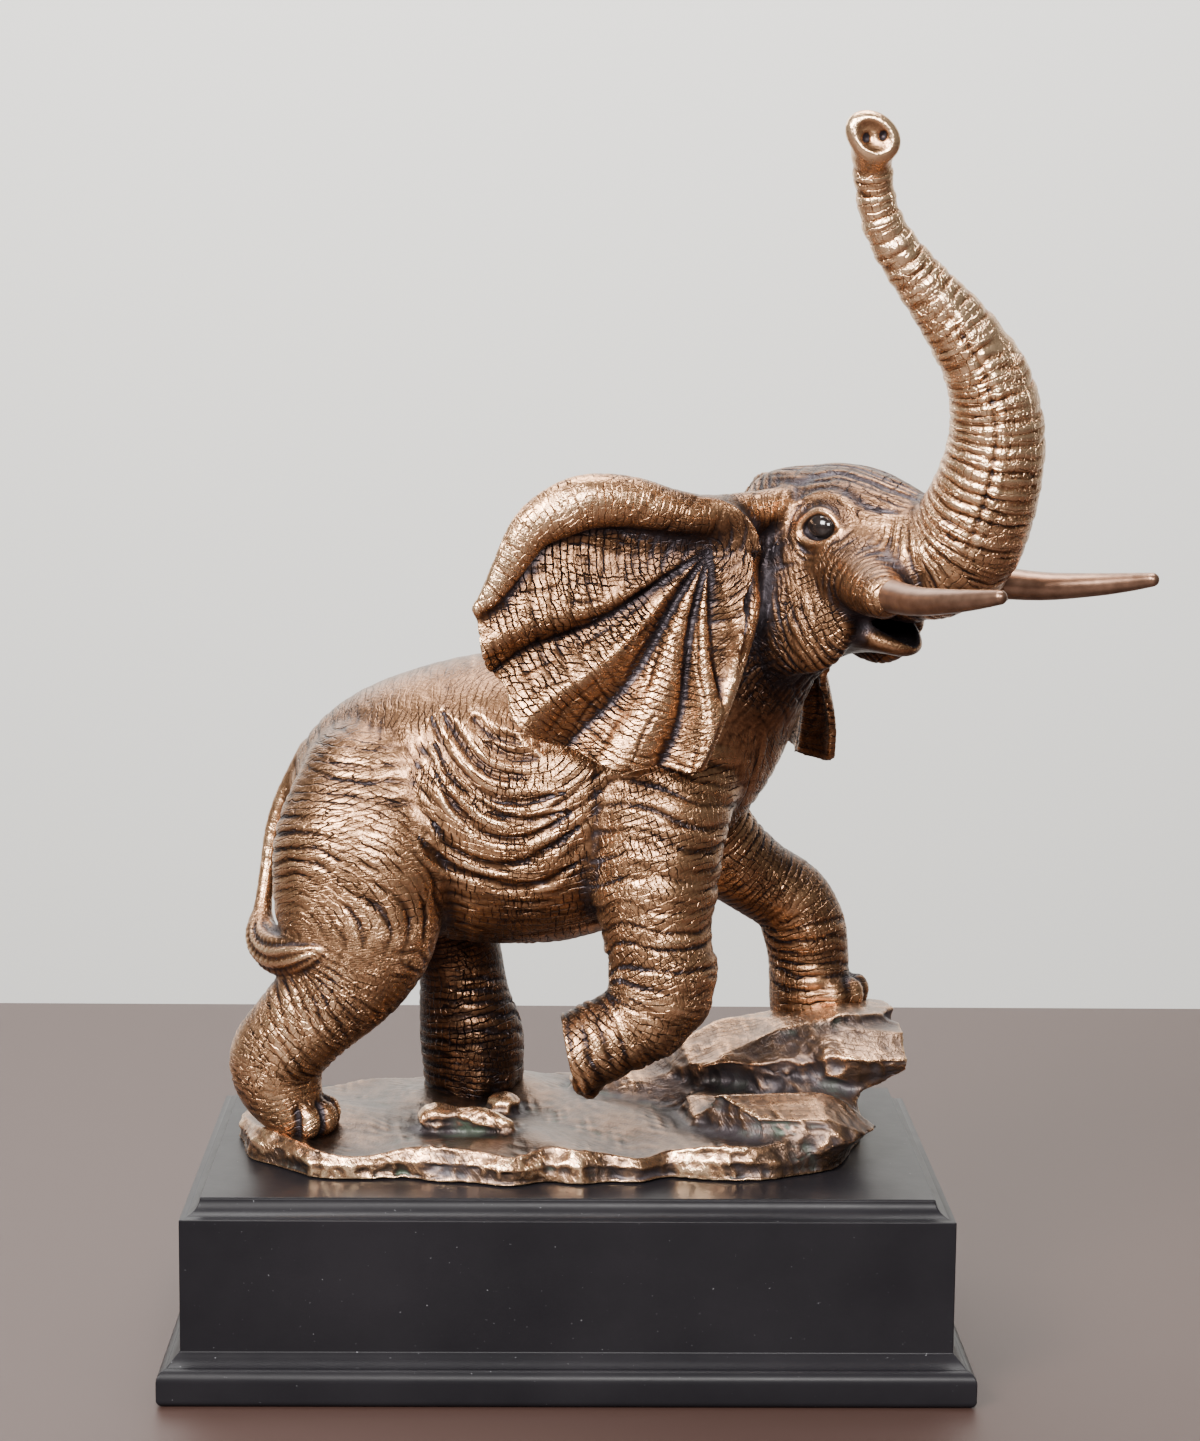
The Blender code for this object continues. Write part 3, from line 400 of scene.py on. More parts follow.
def tube_field(x, y, z, start, end, side, rings):
    """Distance to a tube with elliptical sections, and with rings, between two stations."""
    axis = end[:3] - start[:3]
    length = np.linalg.norm(axis)
    axis = axis / length
    side = side - axis * (side @ axis)
    side = side / np.linalg.norm(side)
    deep = np.cross(side, axis)
    px, py, pz = x - start[0], y - start[1], z - start[2]
    along = px * axis[0] + py * axis[1] + pz * axis[2]
    t = np.clip(along / length, 0, 1)
    past = along - t * length
    across = px * side[0] + py * side[1] + pz * side[2]
    down = px * deep[0] + py * deep[1] + pz * deep[2]
    half_depth = start[3] + (end[3] - start[3]) * t
    half_width = start[4] + (end[4] - start[4]) * t
    height, spacing, first = rings
    swell = height * np.cos(2 * math.pi * (first + t * length) / spacing)
    half_depth = half_depth + swell
    half_width = half_width + swell
    least = np.minimum(half_depth, half_width)
    share = np.sqrt((down / half_depth) ** 2 + (across / half_width) ** 2 + (past / least) ** 2)
    reach = np.sqrt(down ** 2 + across ** 2 + past ** 2)
    return np.where(share > 0.3, reach * (1 - 1 / np.maximum(share, 0.3)), -0.7 * least)


def along_limb(points, stations, side=(0, 1, 0)):
    """For points by a limb: the distance, the run along it, the turn round it and its girth."""
    rows = through(stations)
    side = np.array(side, float)
    best = np.full(len(points), FAR)
    run, turn = np.zeros(len(points)), np.zeros(len(points))
    girth = np.ones(len(points))
    passed = 0.0
    for start, end in zip(rows, rows[1:]):
        reach = max(start[3:].max(), end[3:].max()) + 9
        low = np.minimum(start[:3], end[:3]) - reach
        high = np.maximum(start[:3], end[:3]) + reach
        near = np.flatnonzero(((points > low) & (points < high)).all(axis=1))
        length = np.linalg.norm(end[:3] - start[:3])
        if near.size:
            x, y, z = points[near].T
            field = tube_field(x, y, z, start, end, side, (*NO_RINGS, 0.0))
            better = field < best[near]
            near, field = near[better], field[better]
            axis = (end[:3] - start[:3]) / length
            across_axis = side - axis * (side @ axis)
            across_axis /= np.linalg.norm(across_axis)
            offset = points[near] - start[:3]
            share = np.clip(offset @ axis / length, 0, 1)
            best[near] = field
            run[near] = passed + offset @ axis
            turn[near] = np.arctan2(offset @ across_axis, offset @ np.cross(across_axis, axis))
            girth[near] = start[3:].mean() * (1 - share) + end[3:].mean() * share
        passed += length
    return best, run, turn, girth


def ball_field(x, y, z, centre, radii, axes):
    """Distance to an ellipsoid whose axes are the columns of a matrix."""
    offset = (x - centre[0], y - centre[1], z - centre[2])
    along = [sum(part * axes[row, column] for row, part in enumerate(offset)) for column in range(3)]
    share = np.sqrt(sum((part / radius) ** 2 for part, radius in zip(along, radii)))
    reach = np.sqrt(sum(part ** 2 for part in along))
    return np.where(share > 0.3, reach * (1 - 1 / np.maximum(share, 0.3)), -0.7 * min(radii))


class Clay:
    """A lump on a grid of distances, in figure units, negative inside."""

    def __init__(self, low, high, voxel):
        """An empty grid between two corners, with cells of a size."""
        self.low = np.array(low, float)
        self.voxel = voxel
        self.size = np.ceil((np.array(high) - self.low) / voxel).astype(int) + 1
        self.marks = [(self.low[k] + voxel * np.arange(self.size[k])).astype(np.float32)
                      for k in range(3)]
        self.distance = np.full(self.size, FAR, np.float32)

    def window(self, low, high):
        """Slices of the grid between two corners, and their coordinates."""
        first = np.floor((np.array(low) - self.low) / self.voxel).astype(int)
        last = np.ceil((np.array(high) - self.low) / self.voxel).astype(int) + 1
        first = np.clip(first, 0, self.size)
        last = np.clip(last, first, self.size)
        where = tuple(slice(a, b) for a, b in zip(first, last))
        x, y, z = (marks[part] for marks, part in zip(self.marks, where))
        return where, x[:, None, None], y[None, :, None], z[None, None, :]

    def add(self, where, field, blend, cut=False):
        """Melts a field into the lump, or carves it out."""
        if cut:
            self.distance[where] = -smooth_min(-self.distance[where], field, blend)
        else:
            self.distance[where] = smooth_min(self.distance[where], field, blend)

    def limb(self, stations, blend, side=(0, 1, 0), rings=NO_RINGS, cut=False):
        """Adds or carves a tube along stations, with rings of some height and spacing round it."""
        rows = through(stations)
        margin = blend + 3 * self.voxel
        girth = rows[:, 3:].max(axis=1)[:, None] + margin
        low = (rows[:, :3] - girth).min(axis=0)
        high = (rows[:, :3] + girth).max(axis=0)
        where, x, y, z = self.window(low, high)
        corner = [part.start for part in where]
        field = np.full([part.stop - part.start for part in where], FAR, np.float32)
        side = np.array(side, float)
        run = 0.0
        for start, end in zip(rows, rows[1:]):
            reach = max(start[3:].max(), end[3:].max()) + margin
            near_low = np.maximum(np.minimum(start[:3], end[:3]) - reach, low)
            near_high = np.minimum(np.maximum(start[:3], end[:3]) + reach, high)
            part, x, y, z = self.window(near_low, near_high)
            inner = tuple(slice(p.start - c, p.stop - c) for p, c in zip(part, corner))
            tube = tube_field(x, y, z, start, end, side, (*rings, run))
            field[inner] = np.minimum(field[inner], tube)
            run += np.linalg.norm(end[:3] - start[:3])
        self.add(where, field, blend, cut)

    def ball(self, centre, radii, blend, axes=np.eye(3), cut=False):
        """Adds or carves an ellipsoid."""
        reach = max(radii) + blend + 3 * self.voxel
        where, x, y, z = self.window(np.array(centre) - reach, np.array(centre) + reach)
        self.add(where, ball_field(x, y, z, centre, radii, axes), blend, cut)

    def form(self, low, high, field, blend=0.0):
        """Adds what a function of place makes between two corners."""
        where, x, y, z = self.window(low, high)
        self.add(where, field(x, y, z), blend)

    def shave(self, low, high, field):
        """Cuts away what lies outside a field between two corners."""
        where, x, y, z = self.window(low, high)
        self.distance[where] = np.maximum(self.distance[where], -field(x, y, z))

    def fold(self, low, high, height):
        """Raises and sinks the surface by a height given between two corners."""
        where, x, y, z = self.window(low, high)
        self.distance[where] -= height(x, y, z)

    def skin(self):
        """Points in figure units and four-sided faces of the lump's surface."""
        grid = openvdb.FloatGrid(FAR)
        band = 3 * self.voxel
        grid.copyFromArray(np.clip(self.distance, -band, band))
        points, quads = grid.convertToQuads(0.0)
        return points * self.voxel + self.low, quads


def on_head(forward, near, up):
    """A place given in the head's own axes."""
    return HEAD_AT + HEAD_AXES @ np.array((forward, near, up), float)


def head_stations(stations, side=1):
    """Stations given in the head's own axes, on its near (1) or far (-1) side."""
    return [(*on_head(forward, side * near, up), *radii) for forward, near, up, *radii in stations]


def sole_field(x, y, z):
    """How far a place lies behind the lifted foot's flat sole."""
    return x - SOLE_AT[0] - SOLE_LEAN * (SOLE_AT[1] - z) + 0 * y


def stroke_gap(flat, curve):
    """Distance on a plane from each point to a smooth curve through a few places, tapered out."""
    marks = through(curve)
    gap = np.full(len(flat), FAR)
    last = len(marks) - 1
    for step, (start, end) in enumerate(zip(marks, marks[1:])):
        way = end - start
        share = np.clip((flat - start) @ way / (way @ way), 0, 1)
        reach = np.linalg.norm(flat - start - share[:, None] * way, axis=1)
        done = (step + share) / last
        taper = np.clip(TAPER * done * (1 - done), 0.3, 1)
        gap = np.minimum(gap, reach / taper)
    return gap


def fold_gap(flat):
    """Distance to the nearest of the flank's grooves."""
    return np.min([stroke_gap(flat, curve) for curve in FLANK_FOLDS], axis=0)


def flank_folds(x, y, z):
    """How far the hanging folds of the flank stand out between their grooves."""
    places = np.stack(np.broadcast_arrays(x[:, 0], z[:, 0]), axis=-1)
    gap = fold_gap(places.reshape(-1, 2)).reshape(places.shape[:2])[:, None, :]
    swell = 0.4 * np.exp(-((gap - 2.4 * FOLD_WIDTH) / FOLD_WIDTH) ** 2) - np.exp(-(gap / FOLD_WIDTH) ** 2)
    return FOLD_DEPTH * swell * np.clip((np.abs(y - TORSO_MIDDLE) - 16) / 8, 0, 1)


def add_body(clay):
    """Torso, neck, legs and tail."""
    clay.limb(TORSO, 0)
    clay.limb(NECK, NECK_MELT, side=NECK_SIDE)
    clay.limb(FAR_HIND_LEG, FAR_LEG_MELT)
    clay.limb(FAR_FORE_LEG, FAR_LEG_MELT)
    clay.limb(NEAR_HIND_LEG, NEAR_LEG_MELT)
    clay.limb(NEAR_FORE_LEG, NEAR_LEG_MELT, rings=LEG_RINGS)
    clay.shave(*SOLE_SPACE, sole_field)
    clay.fold(*FLANK_SPACE, flank_folds)
    clay.limb(TAIL, TAIL_MELT)


def add_head(clay):
    """Skull, jaw, trunk and the sheaths of the tusks."""
    for place, size, blend in SKULL:
        clay.ball(on_head(*place), size, blend, HEAD_AXES)
    clay.limb(head_stations(JAW), HEAD_MELT, NEAR_AXIS)
    clay.limb(TRUNK, HEAD_MELT, NEAR_AXIS, TRUNK_RINGS)
    for side in (1, -1):
        clay.limb(head_stations(TUSK_SHEATH, side), HEAD_MELT, NEAR_AXIS)
    clay.limb(head_stations(MOUTH), MOUTH_MELT, NEAR_AXIS, cut=True)
    add_trunk_tip(clay)


def add_trunk_tip(clay):
    """The flared tip: an oval dish with two nostrils."""
    clay.ball(TIP_AT, TIP_SIZE, TIP_MELT, TIP_AXES)
    clay.ball(TIP_AT + TIP_AXES @ (0, TIP_SIZE[1], 0), TIP_HOLLOW, HOLLOW_MELT, TIP_AXES, cut=True)
    for across, up in NOSTRILS:
        place = TIP_AT + np.array((across, -TIP_SIZE[1], up - NOSTRIL_DROP))
        clay.ball(place, NOSTRIL_SIZE, NOSTRIL_MELT, cut=True)


def eased(stops, width):
    """Values at every whole degree between stops, their corners rounded over a width in degrees."""
    turns = np.arange(-180, 181)
    values = np.interp(turns, *np.array(stops, float).T)
    padded = np.pad(values, width, mode="edge")
    return turns, np.convolve(padded, np.hanning(2 * width + 1) / width, mode="valid")


def ear_field(pivot, rear, outward, size=1.0):
    """A pleated fan that spreads from its pivot to the rear and leans outward (-1 near, 1 far)."""
    rim_angles, rim_reach = eased(EAR_RIM, RIM_EASE)
    pleat_angles, pleat_heights = eased(EAR_PLEATS, PLEAT_EASE)

    def field(x, y, z):
        """Distance to the fan, shortened where it lies aslant."""
        back = (x - pivot[0]) * rear[0] + (y - pivot[1]) * rear[1] + 0 * z
        out = outward * ((x - pivot[0]) * rear[1] - (y - pivot[1]) * rear[0]) + 0 * z
        up = z - pivot[2] + 0 * back
        reach = np.sqrt(back ** 2 + up ** 2) + 0.001
        angle = np.degrees(np.arctan2(up, back))
        rim = size * np.interp(angle, rim_angles, rim_reach)
        share = np.clip(reach / rim, 0, 1)
        swayed = angle + PLEAT_SWAY[0] * np.sin(reach / PLEAT_SWAY[1] + angle / 30)
        pleat = share * np.interp(swayed, pleat_angles, pleat_heights)
        lift = EAR_ROOT_LIFT + reach / EAR_SPLAY + PLEAT_LIFT * pleat
        flat = SHEET_SLOPE * np.abs(out - lift) - EAR_HALF_THICK
        edge = RIM_SLOPE * (reach - rim)
        outside = np.sqrt(np.maximum(flat, 0) ** 2 + np.maximum(edge, 0) ** 2)
        return outside + np.minimum(np.maximum(flat, edge), 0)

    return field


def crag_field(middle, halves, turn, climb, seed):
    """A boulder: the space behind facets that face random ways."""
    draw = np.random.default_rng(seed)
    ways = draw.normal(size=(CRAG_FACETS, 3))
    ways /= np.linalg.norm(ways, axis=1)[:, None]
    reaches = draw.uniform(0.82, 1.0, CRAG_FACETS)
    turn, climb = math.radians(turn), math.radians(climb)
    axes = np.array(((math.cos(turn) * math.cos(climb), math.sin(turn) * math.cos(climb), math.sin(climb)),
                     (-math.sin(turn), math.cos(turn), 0),
                     (-math.cos(turn) * math.sin(climb), -math.sin(turn) * math.sin(climb),
                      math.cos(climb))))

    def field(x, y, z):
        """About how far a place lies outside the facets."""
        offset = (x - middle[0], y - middle[1], z - middle[2])
        local = [sum(a * b for a, b in zip(axis, offset)) / half for axis, half in zip(axes, halves)]
        share = np.full(np.broadcast(x, y, z).shape, -1.0, np.float32)
        for way, reach in zip(ways, reaches):
            share = np.maximum(share, sum(a * b for a, b in zip(way, local)) - reach)
        return share * min(halves)

    return field


def slab_field(x, y, z):
    """The ground: a low slab with a rippled, bevelled rim."""
    angles, reaches = np.array(SLAB_RIM, float).T
    east, north = x - SLAB_MIDDLE[0], y - SLAB_MIDDLE[1]
    angle = np.degrees(np.arctan2(north, east))
    rim = np.interp(angle, angles, reaches)
    for height, waves, start in SLAB_RIPPLES:
        rim = rim + height * np.sin(np.radians(waves * angle) + start)
    hills = SLAB_HILLS[0] * np.sin(x / SLAB_HILLS[1]) * np.cos(y / SLAB_HILLS[2])
    humps = SLAB_HUMPS[0] * np.sin(x / SLAB_HUMPS[1] + y / SLAB_HUMPS[2])
    top = SLAB_HEIGHT + hills + humps
    bevel = np.sqrt(east ** 2 + north ** 2) - rim + RIM_SLOPE * np.maximum(z - SLAB_BEVEL_FROM * top, 0)
    return np.maximum(z - top, SHEET_SLOPE * bevel)


def add_rock(clay):
    """Slab, crags, log stub and moss clumps."""
    clay.form(*SLAB_SPACE, slab_field)
    for x, y, z, length, depth, height, turn, climb, seed in CRAGS:
        reach = 1.15 * max(length, depth)
        field = crag_field((x, y, z), (length, depth, height), turn, climb, seed)
        clay.form((x - reach, y - reach, -3), (x + reach, y + reach, z + reach), field, ROCK_MELT)
    clay.limb(LOG, CLUMP_MELT)
    for x, y, z, size in MOSS:
        clay.ball((x, y, z), (size, size, 0.7 * size), CLUMP_MELT)


def add_feet(clay):
    """Toes round the front of each foot."""
    for (x, y), reach, facing, height in FEET:
        for step in (-1, 0, 1):
            way = math.radians(facing + step * TOE_SPREAD)
            toe = (x + reach * math.cos(way), y + reach * math.sin(way), height)
            clay.ball(toe, (TOE_SIZE, TOE_SIZE, 1.3 * TOE_SIZE), TOE_MELT)


def cut_level(clay):
    """Cuts the lump flat at its underside."""
    below = (-clay.marks[2])[None, None, :]
    clay.distance = np.maximum(clay.distance, below)


def largest_piece(points, quads):
    """Drops crumbs and sealed hollows: keeps the piece with the most points."""
    label = np.arange(len(points))
    edges = np.vstack((quads[:, :2], quads[:, 1:3], quads[:, 2:]))
    while True:
        lowest = label.copy()
        least = np.minimum(label[edges[:, 0]], label[edges[:, 1]])
        np.minimum.at(lowest, edges[:, 0], least)
        np.minimum.at(lowest, edges[:, 1], least)
        lowest = lowest[lowest]
        if np.array_equal(lowest, label):
            break
        label = lowest
    names, counts = np.unique(label, return_counts=True)
    kept = label == names[counts.argmax()]
    order = np.cumsum(kept) - 1
    return points[kept], order[quads[kept[quads[:, 0]]]]


def groove(phase, spacing, width):
    """1 along the lines where the phase is a whole number, falling to 0 beside them."""
    return np.exp(-(np.abs(phase - np.round(phase)) * spacing / width) ** 2)


def ripple(points, length, seed):
    """Smooth random swell, mostly from -1 to 1, with waves about as long as given."""
    draw = np.random.default_rng(seed)
    ways = draw.normal(size=(6, 3))
    ways /= np.linalg.norm(ways, axis=1)[:, None]
    ways *= (2 * math.pi / length) * draw.uniform(0.6, 1.5, 6)[:, None]
    return np.sin(points @ ways.T + draw.uniform(0, 2 * math.pi, 6)).sum(axis=1) / 2.6


def ramp(value, low, high):
    """0 below low, 1 above high, and straight between."""
    return np.clip((value - low) / (high - low), 0, 1)


def wrinkles(points, along, spacing, seed, depth):
    """Grooves across a limb that wander, fork and fade."""
    wander = 0.40 * ripple(points, 8 * spacing, seed) + 0.10 * ripple(points, 2.6 * spacing, seed + 1)
    row = along / spacing + wander
    strength = np.clip(0.65 + 0.6 * ripple(points, 5 * spacing, seed + 2), 0.1, 1.2)
    between = np.clip(1 - 1.3 * strength, 0, 1) * groove(row + 0.5, spacing, 0.6)
    return -depth * (strength * groove(row, spacing, 0.72) + 0.5 * between)


def carve_torso(points, run, turn, girth):
    """Hanging folds of the flank between the two leg creases, and a rubbed, veined back."""
    x, y, z = points.T
    reach = np.hypot(x - FOLD_CENTRE[0], FOLD_CENTRE[1] - z)
    swing = reach * np.arctan2(x - FOLD_CENTRE[0], FOLD_CENTRE[1] - z)
    flank = ramp(np.abs(y - TORSO_MIDDLE), 12, 20) * (1 - ramp(z, 128, 140))
    rubbed_and_lit = ramp(z, 130, 144)
    folded = flank * ramp(x, -52, -44)
    height = folded * wrinkles(points, reach, spacing=3.9, seed=33, depth=0.42)
    height += (1 - folded) * (1 - rubbed_and_lit) * wrinkles(points, run, spacing=5.0, seed=35, depth=0.4)
    height += 0.35 * rubbed_and_lit * wrinkles(points, 0.6 * x + z, spacing=9, seed=37, depth=0.5)
    flat = points[:, ::2]
    crease = sum(np.exp(-(stroke_gap(flat, curve) / 1.4) ** 2) for curve in LEG_CREASES)
    height -= flank * (0.5 * crease + 0.2 * np.exp(-(fold_gap(flat) / 0.75) ** 2))
    return height, swing, reach, 1 - 0.7 * rubbed_and_lit


def carve_neck(points, run, turn, girth):
    """Long slack folds that sweep from the jaw to the chest."""
    around = turn * girth
    folds = wrinkles(points, around - 0.3 * run, spacing=5.4, seed=45, depth=0.7)
    slack = wrinkles(points, run + 0.45 * around, spacing=8.0, seed=41, depth=0.35)
    return folds + slack, run, around, 0.7


def toe_gaps(points, middle, facing):
    """Deep nicks between the toes round the front of a foot."""
    x, y, z = (points - (*middle, 0)).T
    turn = (np.degrees(np.arctan2(y, x)) - facing + 180) % 360 - 180
    front = ramp(TOE_SPREAD * 2 - np.abs(turn), 0, 10) * ramp(TOE_TOP - z, 0, 4)
    return front * groove(turn / TOE_SPREAD + 0.5, np.radians(TOE_SPREAD) * np.hypot(x, y), 1.0)


def carve_hind(points, run, turn, girth):
    """Arcs that sweep over the rump, cut into bricks, and slanted rings down the shin."""
    x, _, z = points.T
    reach = np.hypot(x - RUMP_CENTRE[0], z - RUMP_CENTRE[1])
    sweep = reach - 0.25 * (x - RUMP_CENTRE[0])
    round_way = reach * np.arctan2(z - RUMP_CENTRE[1], x - RUMP_CENTRE[0])
    around = turn * girth
    rump = wrinkles(points, sweep, spacing=4.4, seed=51, depth=0.65) * (1 - 0.6 * ramp(z, 126, 140))
    shin = wrinkles(points, run + 0.3 * around, spacing=3.6, seed=53, depth=0.6)
    low = ramp(76 - z, 0, 14)
    foot = ramp(26 - z, 0, 6)
    height = (rump * (1 - low) + shin * low) * (1 - 0.6 * foot)
    height -= 1.3 * toe_gaps(points, *FEET[0][::2])
    return height, round_way * (1 - low) + around * low, sweep * (1 - low) + run * low, 1 - 0.3 * foot


def carve_fore(points, run, turn, girth):
    """Level wrinkles down the upper leg, hatched between, and close rings on the forearm."""
    around = turn * girth
    upper = wrinkles(points, run, spacing=6.4, seed=61, depth=0.75)
    lower = wrinkles(points, run, spacing=3.8, seed=64, depth=0.65)
    bent = ramp(run, 66, 78)
    crease = np.exp(-(stroke_gap(points[:, ::2], LEG_CREASES[1]) / 1.4) ** 2)
    height = upper * (1 - bent) + lower * bent - 0.5 * crease * (points[:, 1] < 0)
    return height, around + 0.35 * run, run - 0.35 * around, 1.0


def carve_far_leg(points, run, turn, girth):
    """Rings and short cuts."""
    around = turn * girth
    return wrinkles(points, run + 0.2 * around, spacing=4.6, seed=71, depth=0.65), around, run, 1.0


def carve_tail(points, run, turn, girth):
    """A smooth cord that ends in a tuft of strands."""
    tuft = ramp(run, 56, 62)
    strands = groove(turn * 4 / math.pi + 0.05 * run, 3.0, 0.7)
    cord = groove(run / 4, 4, 0.6)
    return -0.9 * tuft * strands - 0.15 * (1 - tuft) * cord, run, turn * girth, 0.3


def head_place(points):
    """Places in the head's own axes: forward, near side, up."""
    return ((points - HEAD_AT) @ HEAD_AXES).T


def carve_head(points):
    """Hair grooves over the crown, banded cheeks, and rings of wrinkles round the eyes."""
    forward, near, up = head_place(points)
    side = np.abs(near)
    eye_gap = np.hypot(forward - EYE_AT[0], 1.15 * (up - EYE_AT[2]))
    crown = ramp(up + 0.25 * forward, 13, 17)
    swept = np.arctan2(near, up + 6) * 24 + 0.12 * forward
    strand = 0.30 * ripple(points, 26, 82) + 0.05 * ripple(points, 8, 83)
    strength = np.clip(0.6 + 0.8 * ripple(points * (1, 1, 2), 9, 81), 0.1, 1.1)
    hair = -0.6 * strength * groove(swept / 2.6 + strand, 2.6, 0.55)
    hair -= 0.7 * groove(swept / 6.1 + 0.5 + strand, 6.1, 0.9)
    bands = forward + 0.012 * (up + 4) ** 2 * np.sign(up + 4)
    cheek = wrinkles(points, bands, spacing=3.4, seed=84, depth=0.95)
    face = wrinkles(points, forward + 0.5 * up, spacing=3.4, seed=87, depth=0.5)
    banded = ramp(-forward, 4, 10) * ramp(-up, -8, -2)
    rings = wrinkles(points, eye_gap, spacing=2.6, seed=88, depth=0.6)
    by_eye = ramp(eye_gap, 7, 9) * ramp(15 - eye_gap, 0, 5) * ramp(side, 10, 14)
    socket = ramp(8.5 - eye_gap, 0, 2.0) * ramp(side, 10, 14)
    lower = face * (1 - banded) + cheek * banded
    height = (lower * (1 - by_eye) + rings * by_eye) * (1 - crown) + hair * crown * (1 - by_eye)
    across = (up * banded + (forward + 0.5 * up) * (1 - banded)) * (1 - crown) + swept * crown
    beside = (bands * banded + (up - 0.5 * forward) * (1 - banded)) * (1 - crown) + 0.4 * forward * crown
    return height * (1 - socket), across, beside, (1 - socket) * (1 - 0.4 * crown)


def carve_jaw(points, run, turn, girth):
    """Smooth lips behind which folds run down to the throat."""
    behind = ramp(14 - run, 0, 6)
    around = turn * girth
    folds = wrinkles(points, run + 0.5 * around, spacing=3.4, seed=91, depth=0.45)
    return behind * folds, run, around, 0.2 + 0.8 * behind


def carve_trunk(points, run, turn, girth):
    """Close rings, deepest along the back of the trunk, where two beaded ridges run."""
    around = turn * girth
    spacing = 3.4
    row = run / spacing + 0.24 * ripple(points, 16, 101) + 0.05 * ripple(points, 6, 102)
    ring = groove(row, spacing, 0.6) * np.clip(0.8 + 0.4 * ripple(points, 10, 103), 0.2, 1.1)
    off_back = (turn - TRUNK_BACK) * girth
    beads = ramp(np.cos(turn - TRUNK_BACK), 0.2, 0.9)
    rings = -(0.28 + 0.3 * beads) * ring
    split = 0.4 * np.exp(-(off_back / 0.6) ** 2)
    ridges = 0.45 * np.exp(-((np.abs(off_back) - 2.2) / 1.3) ** 2) * (1 - 0.6 * ring)
    ridged = ramp(run, 34, 46) * ramp(118 - run, 0, 14)
    mouth = ramp(run, TRUNK_MOUTH, TRUNK_MOUTH + 3)
    return rings * (1 - mouth) + ridged * (ridges - split), around, run, 0.8 * (1 - mouth)


def carve_sheath(points, run, turn, girth):
    """Wrinkles that ring the roots of the tusks."""
    return wrinkles(points, run, spacing=3.0, seed=111, depth=0.4), turn * girth, run, 0.6


def ear_place(points, pivot, rear):
    """Turn in degrees above the rearward line, and reach, from an ear's pivot."""
    back = (points[:, 0] - pivot[0]) * rear[0] + (points[:, 1] - pivot[1]) * rear[1]
    up = points[:, 2] - pivot[2]
    return np.degrees(np.arctan2(up, back)), np.hypot(up, back)


def carve_ear(points, pivot, rear):
    """Creases that fan out with the pleats, crossed by short staggered cuts."""
    turn, reach = ear_place(points, pivot, rear)
    swayed = turn + PLEAT_SWAY[0] * np.sin(reach / PLEAT_SWAY[1] + turn / 30)
    ribs = swayed / 7.0 + 0.25 * ripple(points, 24, 121)
    rib = groove(ribs, 0.122 * reach + 0.3, 0.6) * np.clip(0.5 + ripple(points, 14, 125), 0, 1)
    folds = wrinkles(points, reach + 0.1 * turn, spacing=5.5, seed=124, depth=0.3)
    creased = sum(np.exp(-((swayed - crease) * reach / 57 / 0.8) ** 2) for crease in EAR_CREASES)
    height = -0.35 * ramp(reach, 14, 30) * rib + folds - 0.6 * creased
    return height, np.radians(swayed) * reach, reach, 1.0


def carve_roll(points, run, turn, girth):
    """A rolled edge, rubbed smooth, with a few shallow cuts."""
    around = turn * girth
    lip = ramp(run, LIP_FROM, LIP_FROM + 12) * np.exp(-((around - LIP_OFF) / 1.2) ** 2)
    cuts = wrinkles(points, run + 0.6 * around, spacing=9.0, seed=131, depth=0.25)
    return cuts - 1.1 * lip, around, run, 0.7


def limb_zone(stations, carve, side=(0, 1, 0)):
    """A zone along a limb: gives distances and carving for points."""
    def measure(points):
        """Distances of the points, and what carves those that are picked."""
        distance, run, turn, girth = along_limb(points, stations, side)
        return distance, lambda pick: carve(points[pick], run[pick], turn[pick], girth[pick])
    return measure


def head_zone(points):
    """The zone of the skull and cheeks."""
    x, y, z = points.T
    lumps = [ball_field(x, y, z, on_head(*place), size, HEAD_AXES) for place, size, _ in SKULL]
    return np.min(lumps, axis=0), lambda pick: carve_head(points[pick])


def ear_zone(pivot, rear, outward, size):
    """The zone of an ear's fan."""
    def measure(points):
        """Distances of the points, and what carves those that are picked."""
        x, y, z = points.T
        field = ear_field(pivot, rear, outward, size)(x, y, z)
        return field, lambda pick: carve_ear(points[pick], pivot, rear)
    return measure


def all_zones():
    """Every zone of the animal's skin, each with how much brighter or darker it is painted: partly
    rubbing, and partly painted light and shade, such as the shaded neck and far legs and the lit trunk.
    """
    zones = [(limb_zone(TORSO, carve_torso), 0.04), (limb_zone(NECK, carve_neck, NECK_SIDE), -0.28),
             (limb_zone(NEAR_HIND_LEG, carve_hind), 0.02), (limb_zone(FAR_HIND_LEG, carve_far_leg), -0.36),
             (limb_zone(NEAR_FORE_LEG, carve_fore), 0.0), (limb_zone(FAR_FORE_LEG, carve_far_leg), -0.05),
             (limb_zone(TAIL, carve_tail), 0.05), (head_zone, -0.08),
             (limb_zone(head_stations(JAW), carve_jaw, NEAR_AXIS), -0.16),
             (limb_zone(TRUNK, carve_trunk, NEAR_AXIS), 0.12),
             (ear_zone(NEAR_EAR_PIVOT, NEAR_EAR_REAR, -1, 1.0), 0.06),
             (ear_zone(FAR_EAR_PIVOT, FAR_EAR_REAR, 1, FAR_EAR_SIZE), -0.15),
             (limb_zone(EAR_ROLL, carve_roll), 0.18), (limb_zone(EAR_ROOT, carve_neck), -0.15),
             (limb_zone(EAR_FRONT, carve_roll), 0.12)]
    for side in (1, -1):
        zones.append((limb_zone(head_stations(TUSK_SHEATH, side), carve_sheath, NEAR_AXIS), -0.10))
    return zones


